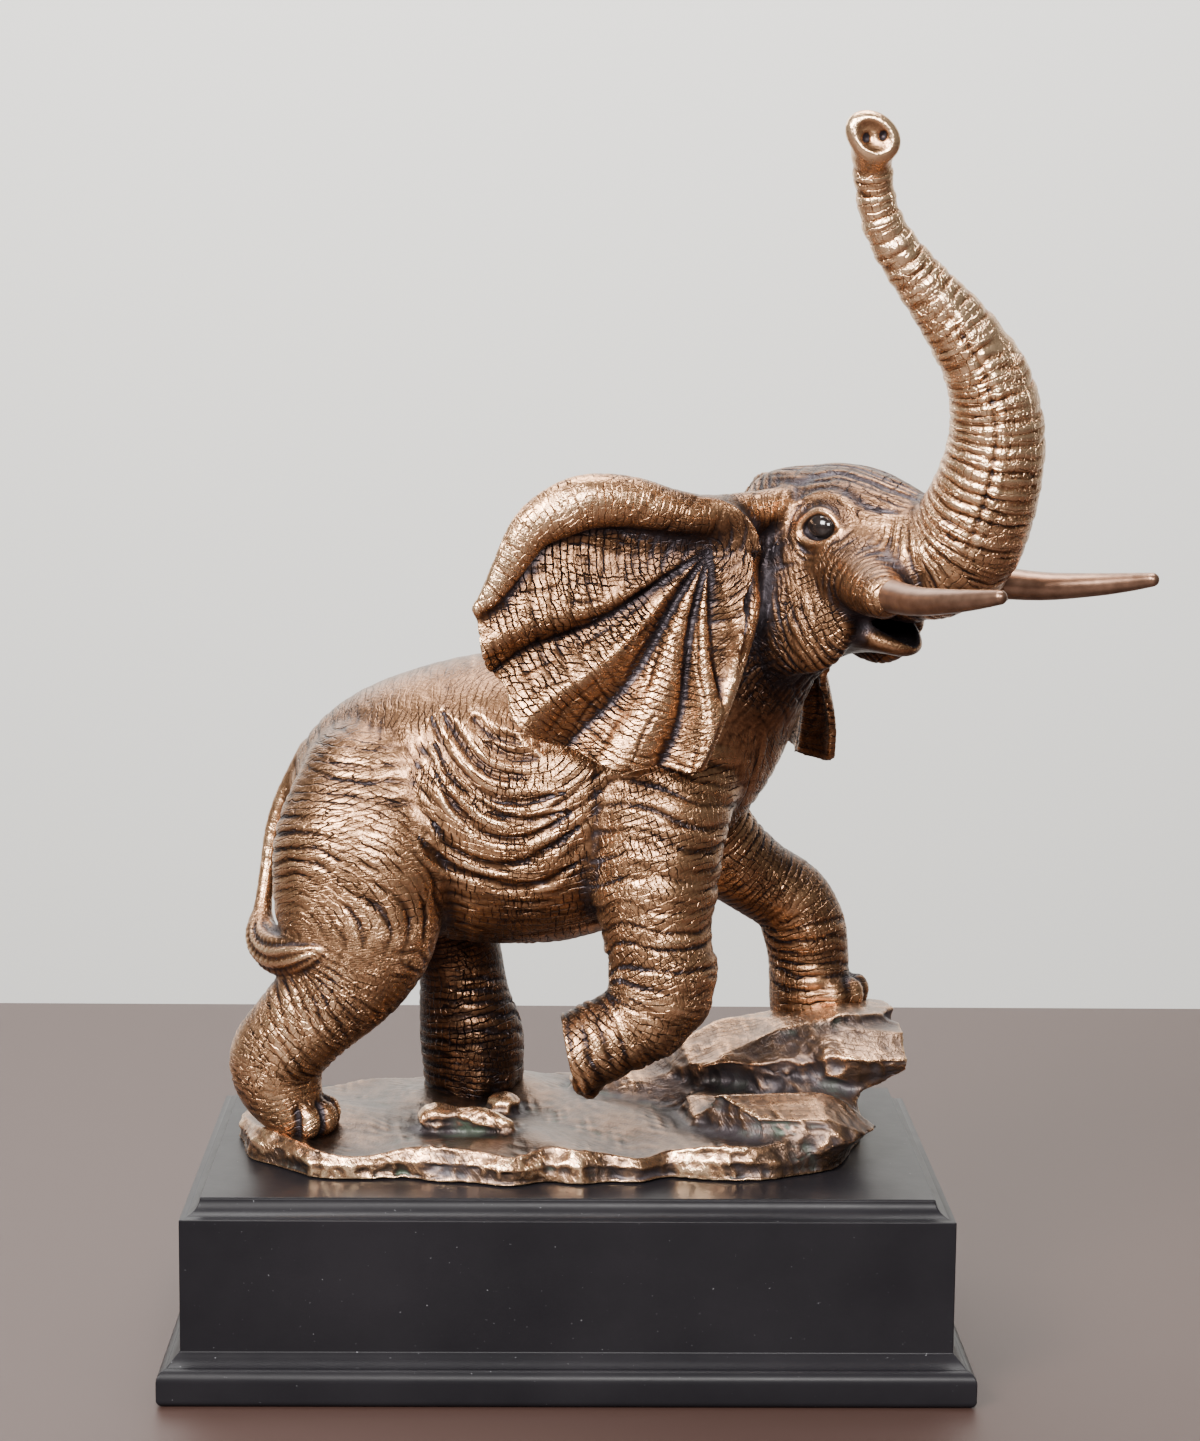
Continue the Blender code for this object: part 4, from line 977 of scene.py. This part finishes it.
def carve_animal(points, normals):
    """Height of the carving, the zones melted together, and marks of its lay, its cuts, and its rubbing
    with painted light and shade.
    """
    measured = [(zone(points), rubbed_and_lit) for zone, rubbed_and_lit in all_zones()]
    fields = np.array([distance for (distance, _), _ in measured])
    weights = np.exp(-np.clip(fields - fields.min(axis=0), 0, 30) / 1.3)
    weights /= weights.sum(axis=0)
    height, cut = np.zeros(len(points)), np.zeros(len(points))
    lay = np.zeros((len(points), 3))
    # Painted shade: surfaces facing down are darkened as shade under the body, and surfaces facing up are
    # darkened to dim their bright reflection
    rub = -0.25 * ramp(-normals[:, 2], 0.1, 0.8) - 0.28 * ramp(normals[:, 2], 0.2, 0.8)
    # Painted shade and painted light in spots: round the near ear's root and on the crown darker, the near
    # shin and the trunk brighter
    for place, reach, depth in PAINTED_LIGHT_AND_SHADE:
        rub -= depth * np.exp(-(((points - place) / reach) ** 2).sum(axis=1))
    main = weights.argmax(axis=0)
    for number, (weight, ((_, carve), rubbed_and_lit)) in enumerate(zip(weights, measured)):
        # Each zone's rubbing together with its painted light and shade
        rub += weight * rubbed_and_lit
        pick = np.flatnonzero(weight > 0.02)
        if pick.size:
            own_height, across, beside, own_cut = carve(pick)
            height[pick] += weight[pick] * own_height
            chief = main[pick] == number
            cut[pick[chief]] = (own_cut * ramp(weight[pick], 0.55, 0.9))[chief]
            lay[pick[chief]] = np.stack((across, beside, np.full(len(pick), 40.0 * number)), axis=1)[chief]
    return height, {"lay": lay, "cut": cut, "rub": rub}


def carve_rock(points, normals):
    """Ledges, chipped facets and a granular crust."""
    x, y, z = points.T
    steep = 1 - np.abs(normals[:, 2])
    ledges = groove((z + 0.10 * x + 0.06 * y) / 3.4 + 0.5 * ripple(points, 30, 141)
                    + 0.12 * ripple(points, 6, 142), 3.4, 0.7)
    chips = np.abs(ripple(points, 17, 143)) + 0.45 * np.abs(ripple(points, 8, 144))
    grain = ripple(points, 2.6, 145) * np.clip(0.2 + ripple(points, 16, 146), 0, 1)
    height = -0.3 * steep * ledges - (0.15 + 1.1 * steep) * chips + 0.15 * grain
    lay = np.stack((x + 0.7 * z, y, z), axis=1)
    calm = ramp(normals[:, 2], 0.75, 0.95) * (1 - ramp(z, 12, 16))
    return height, {"lay": lay, "cut": 0.2 * (1 - calm), "rub": 0.14 * steep - 0.36 * calm}


def add_near_ear(clay):
    """The near ear with its rolled top and front edge."""
    clay.form(*NEAR_EAR_SPACE, ear_field(NEAR_EAR_PIVOT, NEAR_EAR_REAR, -1))
    clay.limb(EAR_ROLL, ROLL_MELT)
    clay.limb(EAR_ROOT, ROLL_MELT)
    clay.limb(EAR_FRONT, EAR_MELT)


def add_far_ear(clay):
    """The far ear, spread away from the neck."""
    clay.form(*FAR_EAR_SPACE, ear_field(FAR_EAR_PIVOT, FAR_EAR_REAR, 1, FAR_EAR_SIZE))


def add_standing(clay):
    """Body, legs and toes."""
    add_body(clay)
    add_feet(clay)
    for x, y, z, size in FORE_TOES:
        clay.ball((x, y, z), (0.8 * size, size, 1.2 * size), TOE_MELT)


def add_face(clay):
    """The head, with eye sockets, lids and brows."""
    add_head(clay)
    for side in (1, -1):
        forward, near, up = EYE_AT
        clay.ball(on_head(forward, side * near, up), EYE_SOCKET, LID_MELT, HEAD_AXES, cut=True)
        for stations in LIDS:
            clay.limb(head_stations(stations, side), LID_MELT, NEAR_AXIS)


PARTS = {"body": (add_standing, 0), "head": (add_face, 9), "near_ear": (add_near_ear, 2.5),
         "far_ear": (add_far_ear, 2.0)}


def vertex_normals(points, quads):
    """Unit normals at the points, from the faces round each."""
    first, second = points[quads[:, 2]] - points[quads[:, 0]], points[quads[:, 3]] - points[quads[:, 1]]
    face = np.cross(first, second)
    total = np.zeros_like(points)
    for corner in range(4):
        for part in range(3):
            total[:, part] += np.bincount(quads[:, corner], face[:, part], len(points))
    return total / np.maximum(np.linalg.norm(total, axis=1), 1e-9)[:, None]


def standing_out(points, normals, quads, voxel, reach):
    """How far points stand out from the same surface smoothed over a reach."""
    edges = np.vstack((quads[:, :2], quads[:, 1:3], quads[:, 2:], quads[:, ::3]))
    edges = edges[edges[:, 0] < edges[:, 1]]
    start, end = edges.T
    count = np.bincount(start, minlength=len(points)) + np.bincount(end, minlength=len(points))
    smooth = points.copy()
    for _ in range(max(2, round(2 * (reach / voxel) ** 2))):
        for part in range(3):
            pulled = (np.bincount(start, smooth[end, part], len(points))
                      + np.bincount(end, smooth[start, part], len(points)))
            smooth[:, part] = 0.5 * smooth[:, part] + 0.5 * pulled / np.maximum(count, 1)
    return ((points - smooth) * normals).sum(axis=1)


def sampled(clay, field, points):
    """Values of a field on the clay's grid at the places nearest to points."""
    cell = np.rint((points - clay.low) / clay.voxel).astype(int)
    cell = np.clip(cell, 0, clay.size - 1)
    return field[tuple(cell.T)]


def openness(clay, field, points, normals):
    """From 0 in a deep recess to 1 in the open."""
    total = np.zeros(len(points))
    for reach in OPEN_REACHES:
        total += np.clip(sampled(clay, field, points + normals * reach) / reach, 0, 1)
    return total / len(OPEN_REACHES)


def add_object(name, mesh, finish):
    """Links a mesh as an object with one material."""
    mesh.materials.append(finish)
    made = bpy.data.objects.new(name, mesh)
    bpy.context.scene.collection.objects.link(made)
    return made


def dress_casting(name, mesh, finish):
    """Adds a smooth mesh as a piece of the bronze casting."""
    mesh.shade_smooth()
    piece = add_object(name, mesh, finish)
    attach(piece, "root")
    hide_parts("elephant_casting")


def add_piece(name, points, quads, marks, finish):
    """An object from points in figure units, with values stored at each point."""
    mesh = bpy.data.meshes.new(name)
    mesh.vertices.add(len(points))
    mesh.vertices.foreach_set("co", (points * UNIT + (0, 0, SEAT)).astype(np.float32).ravel())
    mesh.loops.add(quads.size)
    mesh.loops.foreach_set("vertex_index", quads.astype(np.int32).ravel())
    mesh.polygons.add(len(quads))
    mesh.polygons.foreach_set("loop_start", np.arange(0, quads.size, 4, dtype=np.int32))
    mesh.update(calc_edges=True)
    for key, values in marks.items():
        kind, field = ("FLOAT_VECTOR", "vector") if values.ndim == 2 else ("FLOAT", "value")
        store = mesh.attributes.new(key, kind, "POINT").data
        store.foreach_set(field, values.astype(np.float32).ravel())
    dress_casting(name, mesh, finish)


def carved(name, clay, whole, carve, finish, region=None):
    """Skins a lump, carves the skin, marks where it is worn or sheltered, and adds it."""
    points, quads = largest_piece(*clay.skin())
    normals = vertex_normals(points, quads)
    height, marks = carve(points, normals)
    if region is not None:
        height = height - BAND_DIP * np.clip(sampled(clay, region, points) / BAND, 0, 1)
    points = points + normals * height[:, None]
    normals = vertex_normals(points, quads)
    marks["fine"] = standing_out(points, normals, quads, clay.voxel, FINE_REACH)
    marks["broad"] = standing_out(points, normals, quads, clay.voxel, BROAD_REACH)
    marks["open"] = openness(clay, whole, points, normals)
    add_piece(name, points, quads, marks, finish)


def cell_size(voxel):
    return voxel


def animal_piece(name, part, low, high, voxel, reach, finish):
    """One part of the animal's skin, cut off a little past where the next part's begins.

    Its reach is where it begins and ends along X, or None where nothing cuts it.
    """
    lumps = {}
    whole = None
    for key, (add, blend) in PARTS.items():
        clay = Clay(low, high, cell_size(voxel))
        add(clay)
        lumps[key] = clay.distance
        whole = clay.distance if whole is None else smooth_min(whole, clay.distance, blend)
    region = np.full(clay.size, -FAR, np.float32)
    for key, lump in lumps.items():
        if key != part:
            region = np.maximum(region, lumps[part] - lump)
    for place, way in zip(reach, (-1, 1)):
        if place is not None:
            region = np.maximum(region, way * (clay.marks[0][:, None, None] - place))
    clay.distance = np.maximum(whole, region - BAND)
    carved(name, clay, whole, carve_animal, finish, region)


def feed(tree, node, inputs):
    """Sets a node's inputs to values, or links them to other nodes' outputs."""
    for key, value in inputs.items():
        if isinstance(value, bpy.types.NodeSocket):
            tree.links.new(value, node.inputs[key])
        else:
            node.inputs[key].default_value = value


def input_node(tree, kind, inputs, **settings):
    """A node with its settings and its inputs."""
    node = tree.nodes.new(kind)
    for key, value in settings.items():
        setattr(node, key, value)
    feed(tree, node, inputs)
    return node


def maths(tree, operation, first, second=0.0, third=0.0):
    """The result of one sum."""
    return input_node(tree, "ShaderNodeMath", {0: first, 1: second, 2: third},
                      operation=operation).outputs[0]


def mixed(tree, share, first, second):
    """Two colours mixed by a share."""
    node = input_node(tree, "ShaderNodeMix", {0: share, 6: first, 7: second}, data_type="RGBA")
    return node.outputs[2]


def mark(tree, name):
    """A value stored at the points."""
    return input_node(tree, "ShaderNodeAttribute", {}, attribute_name=name).outputs["Fac"]


def shades(tree, value, stops):
    """Colours along a value."""
    node = input_node(tree, "ShaderNodeValToRGB", {0: value})
    colours = node.color_ramp.elements
    while len(colours) < len(stops):
        colours.new(0.5)
    for element, (place, colour) in zip(colours, stops):
        element.position = place
        element.color = (*colour, 1)
    return node.outputs[0]


def new_material(name):
    """A material, its tree and its shader."""
    made = bpy.data.materials.new(name)
    made.use_nodes = True
    return made, made.node_tree, made.node_tree.nodes["Principled BSDF"]


def grain(tree, scale, detail=4.0):
    """Noise in the object's own space, with waves about a metre over the scale long."""
    place = input_node(tree, "ShaderNodeTexCoord", {}).outputs["Object"]
    noise = input_node(tree, "ShaderNodeTexNoise", {"Vector": place, "Scale": scale, "Detail": detail})
    return noise.outputs[0]


def clamped(tree, value):
    """A value held between 0 and 1."""
    return input_node(tree, "ShaderNodeClamp", {0: value}).outputs[0]


def bumped(tree, height, strength, distance):
    """The surface's direction, bent by a height."""
    inputs = {"Height": height, "Strength": strength, "Distance": distance}
    return input_node(tree, "ShaderNodeBump", inputs).outputs[0]


def laid(tree, drift):
    """Places along and across the carving, in figure units, nudged at random by a drift."""
    lay = input_node(tree, "ShaderNodeAttribute", {}, attribute_name="lay").outputs["Vector"]
    place = input_node(tree, "ShaderNodeTexCoord", {}).outputs["Object"]
    noise = input_node(tree, "ShaderNodeTexNoise", {"Vector": place, "Scale": DRIFT_SCALE, "Detail": 2.0})
    nudge = input_node(tree, "ShaderNodeVectorMath", {0: noise.outputs[1], "Scale": drift},
                       operation="SCALE")
    moved = input_node(tree, "ShaderNodeVectorMath", {0: lay, 1: nudge.outputs[0]}, operation="ADD")
    return moved.outputs[0]


def thin_lines(tree, gap, width):
    """1 where a gap is 0, falling to 0 at a width."""
    return input_node(tree, "ShaderNodeMapRange", {0: gap, 1: 0.0, 2: width, 3: 1.0, 4: 0.0}).outputs[0]


def cut_net(tree, place, scale, width):
    """A net of thin lines round cells, as many to a figure unit as the scale says."""
    scaled = input_node(tree, "ShaderNodeMapping", {"Vector": place, "Scale": scale}).outputs[0]
    cells = input_node(tree, "ShaderNodeTexVoronoi", {"Vector": scaled, "Scale": 1.0},
                       voronoi_dimensions="2D", feature="DISTANCE_TO_EDGE").outputs["Distance"]
    return thin_lines(tree, cells, width)


def cut_bricks(tree, place, length, height, width):
    """Staggered short cuts across the lay, as the joints in courses of bricks."""
    turned = input_node(tree, "ShaderNodeSeparateXYZ", {0: place})
    course = maths(tree, "MULTIPLY", turned.outputs[1], 1 / height)
    shift = input_node(tree, "ShaderNodeTexWhiteNoise", {"W": maths(tree, "FLOOR", course)},
                       noise_dimensions="1D").outputs["Value"]
    phase = maths(tree, "FRACT", maths(tree, "MULTIPLY_ADD", turned.outputs[0], 1 / length, shift))
    joint = maths(tree, "ABSOLUTE", maths(tree, "SUBTRACT", phase, 0.5))
    return thin_lines(tree, joint, width)


def cut_rows(tree, place, spacing, width):
    """Thin lines across the lay, a spacing apart."""
    beside = input_node(tree, "ShaderNodeSeparateXYZ", {0: place}).outputs[1]
    phase = maths(tree, "FRACT", maths(tree, "MULTIPLY", beside, 1 / spacing))
    return thin_lines(tree, maths(tree, "ABSOLUTE", maths(tree, "SUBTRACT", phase, 0.5)), width)


def present(tree, scale, most):
    """Patches where a pattern shows, from 0 to 1, of a size set by the scale."""
    return clamped(tree, maths(tree, "MULTIPLY_ADD", grain(tree, scale, 2.0), 5.0, most - 2.5))


def fine_cuts(tree):
    """Every fine cut in the bronze: crossing cuts, rows and a net of cracks, each in patches."""
    place = laid(tree, CUT_DRIFT)
    cuts = 0.0
    for lines, patches in ((cut_bricks(tree, place, *BRICK_CUTS), BRICK_PATCHES),
                           (cut_rows(tree, place, *ROW_CUTS), ROW_PATCHES),
                           (cut_net(tree, place, *NET_CUTS), NET_PATCHES)):
        shown = maths(tree, "MULTIPLY", lines, present(tree, *patches))
        cuts = maths(tree, "MAXIMUM", cuts, shown)
    return maths(tree, "MULTIPLY", cuts, mark(tree, "cut"))


def weighted(tree, base, parts):
    """A base plus each value times its weight."""
    total = base
    for value, weight in parts:
        total = maths(tree, "MULTIPLY_ADD", value, weight, total)
    return total


def worn_and_lit(tree, cuts, lift, edge):
    """How far the bronze is rubbed bright, with painted light and shade added from the rub mark: 0 in its
    recesses, 1 on its ridges.
    """
    parts = [(mark(tree, "fine"), FINE_WEAR), (mark(tree, "broad"), edge), (mark(tree, "open"), OPEN_WEAR),
             (mark(tree, "rub"), 1.0), (cuts, -CUT_WEAR),
             (grain(tree, PATCH_SCALE), PATCH_WEAR), (grain(tree, SPECKLE_SCALE, 3.0), SPECKLE_WEAR)]
    return clamped(tree, weighted(tree, BASE_WEAR + lift, parts))


def bronze(name, stops, lift=0.0, edge=EDGE_WEAR, green=0.0, dusted=DUST_COVER):
    """Patinated bronze: dark in the recesses, rubbed bright where it stands out, dusty in hollows, and
    painted lighter or darker as light and shade by zone and by facing.
    """
    made, tree, shader = new_material(name)
    cuts = fine_cuts(tree)
    wear_and_light = worn_and_lit(tree, cuts, lift, edge)
    hollow = weighted(tree, DUST_BASE, [(mark(tree, "open"), DUST_IN_OPEN), (wear_and_light, DUST_ON_WORN)])
    base, share = DUST_CLOUDS
    cloud = weighted(tree, base, [(grain(tree, CLOUD_SCALE), share)])
    dust = clamped(tree, maths(tree, "MULTIPLY", hollow, cloud))
    colour = mixed(tree, maths(tree, "MULTIPLY", dust, dusted), shades(tree, wear_and_light, stops), DUST)
    metal = weighted(tree, METAL, [(dust, METAL_UNDER_DUST)])
    if green:
        base, share = CRUST_PATCHES
        deep = clamped(tree, weighted(tree, 1.0, [(wear_and_light, CRUST_ON_WORN)]))
        spread = weighted(tree, base * green, [(grain(tree, CRUST_SCALE), share * green)])
        crust = clamped(tree, maths(tree, "MULTIPLY", deep, spread))
        colour = mixed(tree, crust, colour, VERDIGRIS)
        metal = weighted(tree, metal, [(crust, METAL_UNDER_CRUST)])
    roughness = weighted(tree, ROUGHNESS, [(wear_and_light, ROUGHNESS_WHERE_WORN), (dust, ROUGHNESS_IN_DUST),
                                           (grain(tree, GLOSS_SCALE), ROUGHNESS_IN_GRAIN)])
    relief = weighted(tree, 0.0, [(cuts, CUT_RELIEF), (grain(tree, RELIEF_SCALE, 3.0), GRAIN_RELIEF)])
    feed(tree, shader, {"Base Color": colour, "Metallic": clamped(tree, metal), "Roughness": roughness,
                        "Normal": bumped(tree, relief, *SKIN_BUMP)})
    return made


def tusk_bronze():
    """Smooth brown bronze."""
    made, tree, shader = new_material("tusk_bronze")
    streak = grain(tree, TUSK_SCALE)
    feed(tree, shader, {"Base Color": shades(tree, streak, TUSK_SHADES), "Metallic": 0.85,
                        "Roughness": 0.32, "Normal": bumped(tree, streak, *TUSK_BUMP)})
    return made


def eye_gloss():
    """A dark glossy eye."""
    made, tree, shader = new_material("eye_gloss")
    colour = shades(tree, grain(tree, EYE_SCALE), EYE_SHADES)
    feed(tree, shader, {"Base Color": colour, "Roughness": 0.12, "Coat Weight": 0.6})
    return made


def lacquer():
    """Satin black lacquer with a few specks of dust."""
    made, tree, shader = new_material("plinth_lacquer")
    colour = shades(tree, grain(tree, LACQUER_SCALE, 5.0), LACQUER_SHADES)
    dust = grain(tree, SPECK_SCALE, 2.0)
    speck = input_node(tree, "ShaderNodeMapRange", {0: dust, 1: 0.74, 2: 0.80}).outputs[0]
    colour = mixed(tree, speck, colour, SPECK)
    roughness = weighted(tree, 0.30, [(grain(tree, SHEEN_SCALE), 0.10)])
    feed(tree, shader, {"Base Color": colour, "Roughness": roughness, "Specular IOR Level": 0.15,
                        "Normal": bumped(tree, grain(tree, PEEL_SCALE, 2.0), *LACQUER_BUMP)})
    return made


def arc(steps, first, last):
    """Sines and cosines of evenly spaced turns, in degrees."""
    for step in range(steps + 1):
        turn = math.radians(first + (last - first) * step / steps)
        yield math.sin(turn), math.cos(turn)


def plinth_profile():
    """Rings of the plinth from the underside up: how far out from the block, and how high."""
    foot_round = BASE_HEIGHT * 0.15
    nose_round = BASE_HEIGHT * 0.26
    nose_height = BASE_HEIGHT * 0.5
    neck_reach = BASE_REACH * 0.18
    neck_height = BASE_HEIGHT * 0.93
    rings = [(BASE_REACH - foot_round * (1 - sine), foot_round * (1 - cosine))
             for sine, cosine in arc(8, 0, 90)]
    rings += [(BASE_REACH - nose_round * (1 - cosine), nose_height + nose_round * sine)
              for sine, cosine in arc(12, 0, 75)]
    rings += [(neck_reach, neck_height), (0, BASE_HEIGHT)]
    cove_foot = PLINTH_TOP[2] - COVE_HEIGHT
    rings += [(-COVE_WIDTH * sine, cove_foot + COVE_HEIGHT * (1 - cosine))
              for sine, cosine in arc(24, 0, 90)]
    return rings


def make_plinth(finish):
    """The moulded block, with its edges eased."""
    made = bmesh.new()
    bmesh.ops.create_grid(made, x_segments=1, y_segments=1, size=1)
    top = next(iter(made.faces))
    for reach, height in plinth_profile():
        if height > 0:
            top = bmesh.ops.extrude_discrete_faces(made, faces=[top])["faces"][0]
        for corner in top.verts:
            corner.co.x = math.copysign(PLINTH_TOP[0] - BASE_REACH + reach, corner.co.x)
            corner.co.y = math.copysign(PLINTH_TOP[1] - BASE_REACH + reach, corner.co.y)
            corner.co.z = height
    bmesh.ops.holes_fill(made, edges=made.edges)
    bmesh.ops.recalc_face_normals(made, faces=made.faces)
    mesh = bpy.data.meshes.new("lacquered_plinth")
    made.to_mesh(mesh)
    made.free()
    mesh.shade_smooth()
    piece = add_object("lacquered_plinth", mesh, finish)
    ease = piece.modifiers.new("Ease", "BEVEL")
    ease.width = EDGE_EASE
    ease.segments = 2
    ease.limit_method = "ANGLE"
    ease.angle_limit = math.radians(30)
    ease.harden_normals = True
    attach(piece, "root")
    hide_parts("plinth")


def make_eye(name, side, finish):
    """An eyeball set in the head."""
    made = bmesh.new()
    bmesh.ops.create_icosphere(made, subdivisions=4, radius=1)
    middle = on_head(EYE_AT[0], side * (EYE_AT[1] - EYE_DEPTH), EYE_AT[2])
    for corner in made.verts:
        place = HEAD_AXES @ (np.array(corner.co) * EYE_SIZE)
        corner.co = (place + middle) * UNIT + (0, 0, SEAT)
    mesh = bpy.data.meshes.new(name)
    made.to_mesh(mesh)
    made.free()
    dress_casting(name, mesh, finish)


def add_light(name, place, target, size, watts, colour):
    """A soft square lamp that faces a target."""
    lamp = bpy.data.lights.new(name, "AREA")
    lamp.size = size
    lamp.energy = watts
    lamp.color = colour
    made = bpy.data.objects.new(name, lamp)
    made.location = place
    way = np.array(target) - np.array(place)
    made.rotation_euler = Vector(way).to_track_quat("-Z", "Y").to_euler()
    bpy.context.scene.collection.objects.link(made)


def add_sheet(name, corners, colour, roughness):
    """One flat face of the stage."""
    mesh = bpy.data.meshes.new(name)
    mesh.from_pydata(corners, [], [(0, 1, 2, 3)])
    finish, tree, shader = new_material(name)
    feed(tree, shader, {"Base Color": (*colour, 1), "Roughness": roughness})
    add_object(name, mesh, finish)


def add_stage():
    """A dark table top before a pale wall, under soft light from the upper left."""
    wide, back, wall = STAGE_REACH, TABLE_BACK, WALL_BACK
    corners = [(-wide, -wide, 0), (wide, -wide, 0), (wide, back, 0), (-wide, back, 0)]
    add_sheet("table_top", corners, *TABLE_FINISH)
    corners = [(-wide, wall, -wide), (wide, wall, -wide), (wide, wall, wide), (-wide, wall, wide)]
    add_sheet("pale_wall", corners, *WALL_FINISH)
    world = bpy.data.worlds.new("studio")
    world.use_nodes = True
    sky = world.node_tree.nodes["Background"]
    feed(world.node_tree, sky, {"Color": WORLD_COLOUR, "Strength": WORLD_STRENGTH})
    bpy.context.scene.world = world
    for lamp in LAMPS:
        add_light(*lamp)


def add_camera():
    """The camera at the photograph's viewing angle."""
    data = bpy.data.cameras.new("camera")
    data.lens = CAMERA_LENS
    data.sensor_width = CAMERA_SENSOR
    turned = (Matrix.Rotation(CAMERA_TURN, 4, "Z") @ Matrix.Rotation(-CAMERA_DOWN, 4, "X")
              @ Matrix.Rotation(CAMERA_ROLL, 4, "Y") @ Matrix.Rotation(math.pi / 2, 4, "X"))
    camera = bpy.data.objects.new("camera", data)
    camera.matrix_world = Matrix.Translation(CAMERA_AT) @ turned
    bpy.context.scene.collection.objects.link(camera)
    bpy.context.scene.camera = camera


def make_animal(finish):
    """The animal's skin, piece by piece."""
    for piece in SKIN_PIECES:
        animal_piece(*piece, finish)


def make_tusks(finish):
    """The two tusks, smooth."""
    for name, side in (("near_tusk", 1), ("far_tusk", -1)):
        stations = head_stations(TUSK, side)
        places = np.array(stations)[:, :3]
        clay = Clay(places.min(axis=0) - TUSK_MARGIN, places.max(axis=0) + TUSK_MARGIN, TUSK_VOXEL)
        clay.limb(stations, 0, NEAR_AXIS)
        points, quads = largest_piece(*clay.skin())
        add_piece(name, points, quads, {}, finish)


def make_rock(finish):
    """The rock under the feet."""
    clay = Clay(*ROCK_SPACE, cell_size(ROCK_VOXEL))
    add_rock(clay)
    cut_level(clay)
    carved("rock", clay, clay.distance.copy(), carve_rock, finish)


def main():
    """Builds every piece, the stage, the camera and the lights."""
    add_camera()
    add_stage()
    skin = bronze("rubbed_bronze", SKIN_SHADES)
    make_animal(skin)
    make_rock(bronze("rock_bronze", ROCK_SHADES, lift=0.05, edge=0.34, green=1.0, dusted=0.35))
    make_tusks(tusk_bronze())
    eye = eye_gloss()
    for name, side in (("near_eye", 1), ("far_eye", -1)):
        make_eye(name, side, eye)
    make_plinth(lacquer())
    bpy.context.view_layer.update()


main()
